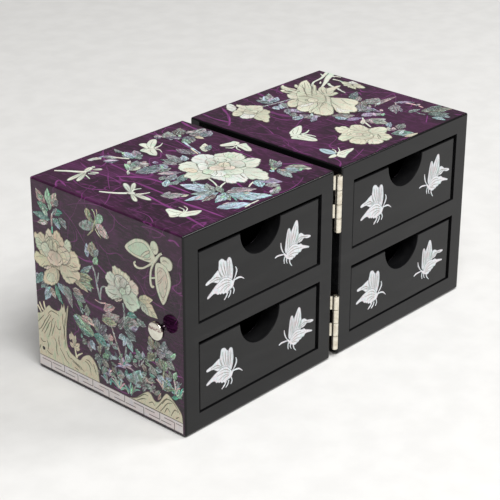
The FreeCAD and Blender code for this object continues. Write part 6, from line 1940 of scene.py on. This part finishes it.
RIGHT_TOP_FIBRES = (
    (2.4, 0.65, (4, 77), (10, 82), (16, 89), (21, 98)),
    (2.2, 0.6, (7.4, 99), (6.6, 88), (8.6, 78)),
    (1.4, 0.5, (10, 52), (14, 60), (17, 70)),
    (1.4, 0.5, (25, 51), (31, 54), (36, 56)),
    (4.0, 0.5, (33.4, 76), (33.4, 70), (35, 62)),
    (1.2, 0.5, (44.6, 48), (44.4, 38), (45, 31)),
    (1.6, 0.5, (9.6, 34), (10.6, 26), (12, 20)),
    (1.2, 0.45, (14, 34), (18, 26), (19, 18)),
    (1.2, 0.5, (2, 20), (1.6, 28), (4, 36)),
    (1.1, 0.6, (75, 7), (80, 10.4), (84, 13)),
    (1.8, 0.5, (59, 99), (60, 94), (58, 88)),
    (1.0, 0.45, (62, 34), (56, 26), (54, 12), (56, 2)),
    (1.2, 0.45, (92, 56), (97, 50), (100, 42)),
    (1.0, 0.45, (26, 8), (18, 5), (10, 3)),
)


def add_left_top(face):
    """A peony, insects and butterflies among leaves."""
    fibres(face, LEFT_TOP_FIBRES)
    stems(face, LEFT_TOP_STEMS)
    leaves(face, LEFT_TOP_LEAVES, 31)
    leaves(face, LEFT_TOP_GLINTS, 34, GLINT_LEVEL, TONES)
    flower(face, (67.6, 41.6), LEFT_TOP_PEONY, LEFT_TOP_LINES, 32, "white")
    flyers(face, LEFT_TOP_FLYERS, 33)
    for design in LEFT_TOP_BUTTERFLIES:
        creature(face, design)


def add_right_top(face):
    """Three peonies and a blossom on a branch, and two butterflies."""
    fibres(face, RIGHT_TOP_FIBRES)
    leaves(face, RIGHT_TOP_LEAVES, 41)
    leaves(face, RIGHT_TOP_GLINTS, 44, GLINT_LEVEL, TONES)
    stems(face, RIGHT_TOP_STEMS)
    flower(face, (64, 71), RIGHT_TOP_GREAT_PEONY, RIGHT_TOP_GREAT_LINES, 42, "bone")
    flower(face, (94.1, 70.2), RIGHT_TOP_BLOSSOM, (), 43, "bone")
    flower(face, (25, 82), RIGHT_TOP_HALF_PEONY, RIGHT_TOP_HALF_LINES, 45, "bone")
    flower(face, (39.8, 18.2), RIGHT_TOP_PEONY, RIGHT_TOP_PEONY_LINES, 21, "bone")
    for design in RIGHT_TOP_BUTTERFLIES:
        creature(face, design)


def add_pictures():
    """The pictures on the cases: the same one on every end and back, and one of its own on each top."""
    for side in SIDES:
        faces = case_faces(side)
        for name in ("end", "back"):
            add_end_picture(faces[name])
    add_left_top(case_faces("left")["top"])
    add_right_top(case_faces("right")["top"])


FLOOR_SIZE = 12.0
FLOOR_DARK = (0.74, 0.735, 0.72)
FLOOR_LIGHT = (0.78, 0.775, 0.76)


def add_floor():
    """A plain pale floor, with nothing behind it but its own far edge."""
    bpy.ops.mesh.primitive_plane_add(size=FLOOR_SIZE, location=(0, 0, 0))
    floor = bpy.context.object
    floor.name = "floor"
    finish = Finish("floor", Roughness=0.9)
    speckle = finish.between(finish.noise(60, 4), 0.3, 0.7)
    finish.set("Base Color", finish.mix(speckle, FLOOR_DARK, FLOOR_LIGHT))
    floor.data.materials.append(finish.material)


AIR = (0.21, 0.205, 0.20, 1.0)
LAMP_TARGET = Vector((0, 0, 0.05))
# The lamps: place and size in metres, and power in watts.
LAMPS = {
    "key": ((-0.5, -0.9, 1.7), 1.2, 38),
    "fill": ((0.9, -0.8, 1.3), 0.8, 13),
}


def add_light():
    """A dim even surround, and soft square lamps that look at the box."""
    world = bpy.data.worlds.new("world")
    bpy.context.scene.world = world
    world.use_nodes = True
    world.node_tree.nodes["Background"].inputs["Color"].default_value = AIR
    for name, (place, size, power) in LAMPS.items():
        data = bpy.data.lights.new(name, "AREA")
        data.size = size
        data.energy = power
        lamp = bpy.data.objects.new(name, data)
        bpy.context.scene.collection.objects.link(lamp)
        lamp.location = place
        lamp.rotation_euler = (LAMP_TARGET - Vector(place)).to_track_quat("-Z", "Y").to_euler()


def paint(material, stem, *pieces):
    """Gives a material to the CAD's pieces whose names start with the same words."""
    for piece in pieces:
        for slot in nodes[f"{stem}_{piece}"].material_slots:
            slot.material = material


def paint_cad():
    """The finish of every CAD piece that stays in sight."""
    black = black_lacquer()
    wood = drawer_wood()
    pale = hinge_metal()
    for side in SIDES:
        purple = purple_lacquer(side)
        paint(purple, side, "top_panel", "bottom_panel", "outer_side", "back_panel")
        paint(black, side, "shelf", "hinge_side")
        paint(pale, side, "hinge_screws")
        for level in LEVELS:
            drawer = f"{side}_{level}_drawer"
            paint(black, drawer, "front")
            paint(wood, drawer, "left_wall", "right_wall", "back", "bottom")
    for level in LEVELS:
        paint(pale, f"{level}_hinge", "left_leaf", "right_leaf", "pin")


def link(name, points, faces, material):
    """A new mesh in the scene."""
    mesh = bpy.data.meshes.new(name)
    mesh.from_pydata(points, [], faces)
    mesh.materials.append(material)
    piece = bpy.data.objects.new(name, mesh)
    bpy.context.scene.collection.objects.link(piece)
    return piece


KNOB_STEPS = 64
KNOB_SHARP = math.radians(40)
KNOB_STUD = 1.2
KNOB_POINT = 1.0
# The knob's rings outside the panel, from its foot to its crown: radius, and distance out.
KNOB_RINGS = (
    (KNOB_STUD, 0), (1.9, 0), (1.6, 0.25), (1.4, 0.8), (1.25, 1.6), (1.4, 3.0),
    (4.24, 3.84), (4.37, 3.93), (4.4, 4.05), (4.4, 5.15), (4.36, 5.32), (4.25, 5.41), (3.3, 5.53),
    (2.2, 5.625), (1.1, 5.68), (0.4, 5.698),
)


def add_knob(side, material):
    """A turned knob with a softly rounded rim. It stands for the CAD's knob, on the same sizes."""
    low, high = lows_and_highs(f"{side}_knob")
    sign = 1 if side == "right" else -1
    foot = sign * (HALF_GAP + CASE_WIDTH)
    depth = abs(foot - (low.x if side == "right" else high.x))
    y = (low.y + high.y) / 2
    z = (low.z + high.z) / 2
    rings = ((KNOB_STUD / 2, -depth), (KNOB_STUD, KNOB_POINT - depth)) + KNOB_RINGS
    points = []
    for radius, out in rings:
        for n in range(KNOB_STEPS):
            spot = cmath.rect(radius, 2 * math.pi * n / KNOB_STEPS)
            points.append(Vector((foot + sign * out, y + spot.real, z + spot.imag)) * MM)
    points.append(Vector((foot - sign * depth, y, z)) * MM)
    points.append(Vector((foot + sign * KNOB_OUT, y, z)) * MM)
    first_pole = len(points) - 2
    last = (len(rings) - 1) * KNOB_STEPS
    faces = []
    for n in range(KNOB_STEPS):
        after = (n + 1) % KNOB_STEPS
        for a in range(0, last, KNOB_STEPS):
            faces.append((a + n, a + after, a + KNOB_STEPS + after, a + KNOB_STEPS + n))
        faces.append((first_pole, after, n))
        faces.append((first_pole + 1, last + n, last + after))
    if side == "left":
        faces = [face[::-1] for face in faces]
    piece = link(f"{side}_turned_knob", points, faces, material)
    piece.data.polygons.foreach_set("use_smooth", [True] * len(faces))
    piece.data.set_sharp_from_angle(angle=KNOB_SHARP)
    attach(piece, f"{side}_case")
    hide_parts(f"{side}_knob")


CORNER_STEPS = 5
SIDE_STEPS = 26
LEAST_RADIUS = 0.01


def rounded_loop(low, high, radius, height):
    """A rounded rectangle of points, with many along each side. height gives z for a point."""
    radius = max(radius, LEAST_RADIUS)
    right = high.x - radius
    left = low.x + radius
    back = high.y - radius
    front = low.y + radius
    corners = []
    for quarter, (x, y) in enumerate(((right, back), (left, back), (left, front), (right, front))):
        arc = []
        for n in range(CORNER_STEPS + 1):
            angle = math.pi / 2 * (quarter + n / CORNER_STEPS)
            arc.append((x + radius * math.cos(angle), y + radius * math.sin(angle)))
        corners.append(arc)
    spots = []
    for quarter, arc in enumerate(corners):
        spots += arc
        start, end = arc[-1], corners[(quarter + 1) % 4][0]
        for n in range(1, SIDE_STEPS):
            t = n / SIDE_STEPS
            spots.append((start[0] + (end[0] - start[0]) * t, start[1] + (end[1] - start[1]) * t))
    return [Vector((x, y, height(x, y))) * MM for x, y in spots]


def shrunk(low, high, away):
    """A box drawn in by an amount on all four sides."""
    step = Vector((away, away, 0))
    return low + step, high - step


def at_height(z):
    """The same height everywhere."""
    return lambda x, y: z


def loft(name, loops, material):
    """A closed skin over loops of as many points each."""
    size = len(loops[0])
    points = [p for loop in loops for p in loop]
    faces = []
    for level in range(len(loops) - 1):
        for n in range(size):
            a = level * size + n
            b = level * size + (n + 1) % size
            faces.append((a, b, b + size, a + size))
    for loop, first, flip in ((loops[0], 0, True), (loops[-1], len(points) - size, False)):
        points.append(sum(loop, Vector()) / size)
        heart = len(points) - 1
        for n in range(size):
            a, b = first + n, first + (n + 1) % size
            faces.append((b, a, heart) if flip else (a, b, heart))
    piece = link(name, points, faces, material)
    for polygon in piece.data.polygons:
        polygon.use_smooth = True
    return piece


# The velvet: its backing's thickness, its pile, and the rounding between its walls and its floor.
LINING_WALL = 1.0
PILE = 0.35
FLOOR_ROUND = 2.2
ROUND_TURNS = (0, 30, 60, 90)
# Its rim, from the outer wall to the inner one: how far in, the corners' radius, how far below the top.
LINING_RIM = ((0.0, 1.0, 0.3), (0.25, 1.0, 0.05), (0.6, 1.2, 0.0), (0.95, 1.4, 0.1), (1.1, 1.6, 0.45))
# Its padded floor: how far in from the wall, and how high above the floor's edge.
LINING_FLOOR = ((6, 0.1), (12, 0.3), (20, 0.45))
FLOOR_CORNER = 6.0
# The finger notch in a drawer's front, how much wider it is cut in the velvet, and how deep that cut goes.
NOTCH_RADIUS = 13.6
NOTCH_MARGIN = 0.8
NOTCH_REACH = 2


def add_lining(side, level, material):
    """A velvet tray with rolled rims and rounded inner edges, cut away behind the finger notch."""
    drawer = f"{side}_{level}_drawer"
    low, high = lows_and_highs(f"{drawer}_lining")
    _, front_high = lows_and_highs(f"{drawer}_front")
    middle_x = (low.x + high.x) / 2
    notch = NOTCH_RADIUS + NOTCH_MARGIN
    floor_z = low.z + LINING_WALL

    def rim(drop):
        """The height of the rim, less a drop, and lower behind the notch."""

        def height(x, y):
            top = high.z
            reach = abs(x - middle_x)
            if y < low.y + NOTCH_REACH and reach < notch:
                top = min(top, front_high.z - math.sqrt(notch**2 - reach**2))
            return max(floor_z, top) - drop

        return height

    loops = [rounded_loop(low, high, LINING_RIM[0][1], at_height(low.z))]
    for away, radius, drop in LINING_RIM:
        loops.append(rounded_loop(*shrunk(low, high, away), radius, rim(drop)))
    for turn in ROUND_TURNS:
        angle = math.radians(turn)
        away = LINING_WALL + PILE + FLOOR_ROUND * (1 - math.cos(angle))
        z = floor_z + FLOOR_ROUND * (1 - math.sin(angle))
        loops.append(rounded_loop(*shrunk(low, high, away), 2.0 + away, at_height(z)))
    for away, rise in LINING_FLOOR:
        loops.append(rounded_loop(*shrunk(low, high, away), FLOOR_CORNER, at_height(floor_z + rise)))
    piece = loft(f"{drawer}_velvet", loops, material)
    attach(piece, drawer)
    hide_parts(f"{drawer}_lining")


FELT_CORNER = 3.0
# The felt's cut edge: how far in, and how high above its underside.
FELT_EDGE = ((1.2, 0), (0.15, 0.08), (0, 0.3))


def add_felt(side, material):
    """The felt under a case, pressed a little thinner at its cut edge."""
    node = f"{side}_base_felt"
    low, high = lows_and_highs(node)
    loops = []
    for away, rise in FELT_EDGE + ((0, high.z - low.z),):
        loops.append(rounded_loop(*shrunk(low, high, away), FELT_CORNER, at_height(low.z + rise)))
    piece = loft(f"{side}_felt_sheet", loops, material)
    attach(piece, f"{side}_case")
    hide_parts(node)


def add_soft_pieces():
    """The felt under each case, and the velvet in each drawer."""
    pile = velvet()
    pad = felt()
    for side in SIDES:
        add_felt(side, pad)
        for level in LEVELS:
            add_lining(side, level, pile)


def make_inlays():
    """One mesh for each body and kind of shell or paper."""
    finishes = {
        "white_shell": white_shell(),
        "abalone_shell": abalone_shell(),
        "fret_shell": fret_shell(),
        "purple_lacquer": fibre_paper(),
    }
    for (body, slot), store in stores.items():
        name = f"{body}_fibres" if slot == "purple_lacquer" else f"{body}_{slot}"
        piece = link(name, store["points"], store["faces"], finishes[slot])
        tones = piece.data.color_attributes.new("tone", "FLOAT_COLOR", "POINT")
        tones.data.foreach_set("color", [c for tone in store["tones"] for c in (*tone, 1.0)])
        grains = piece.data.attributes.new("grain", "FLOAT_VECTOR", "POINT")
        grains.data.foreach_set("vector", [c for grain in store["grains"] for c in grain])
        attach(piece, body)


bpy.context.scene.view_settings.view_transform = "Standard"
add_camera()
add_floor()
add_light()
paint_cad()
add_soft_pieces()
polish = knob_metal()
for side in SIDES:
    add_knob(side, polish)
add_drawer_butterflies()
add_pictures()
make_inlays()
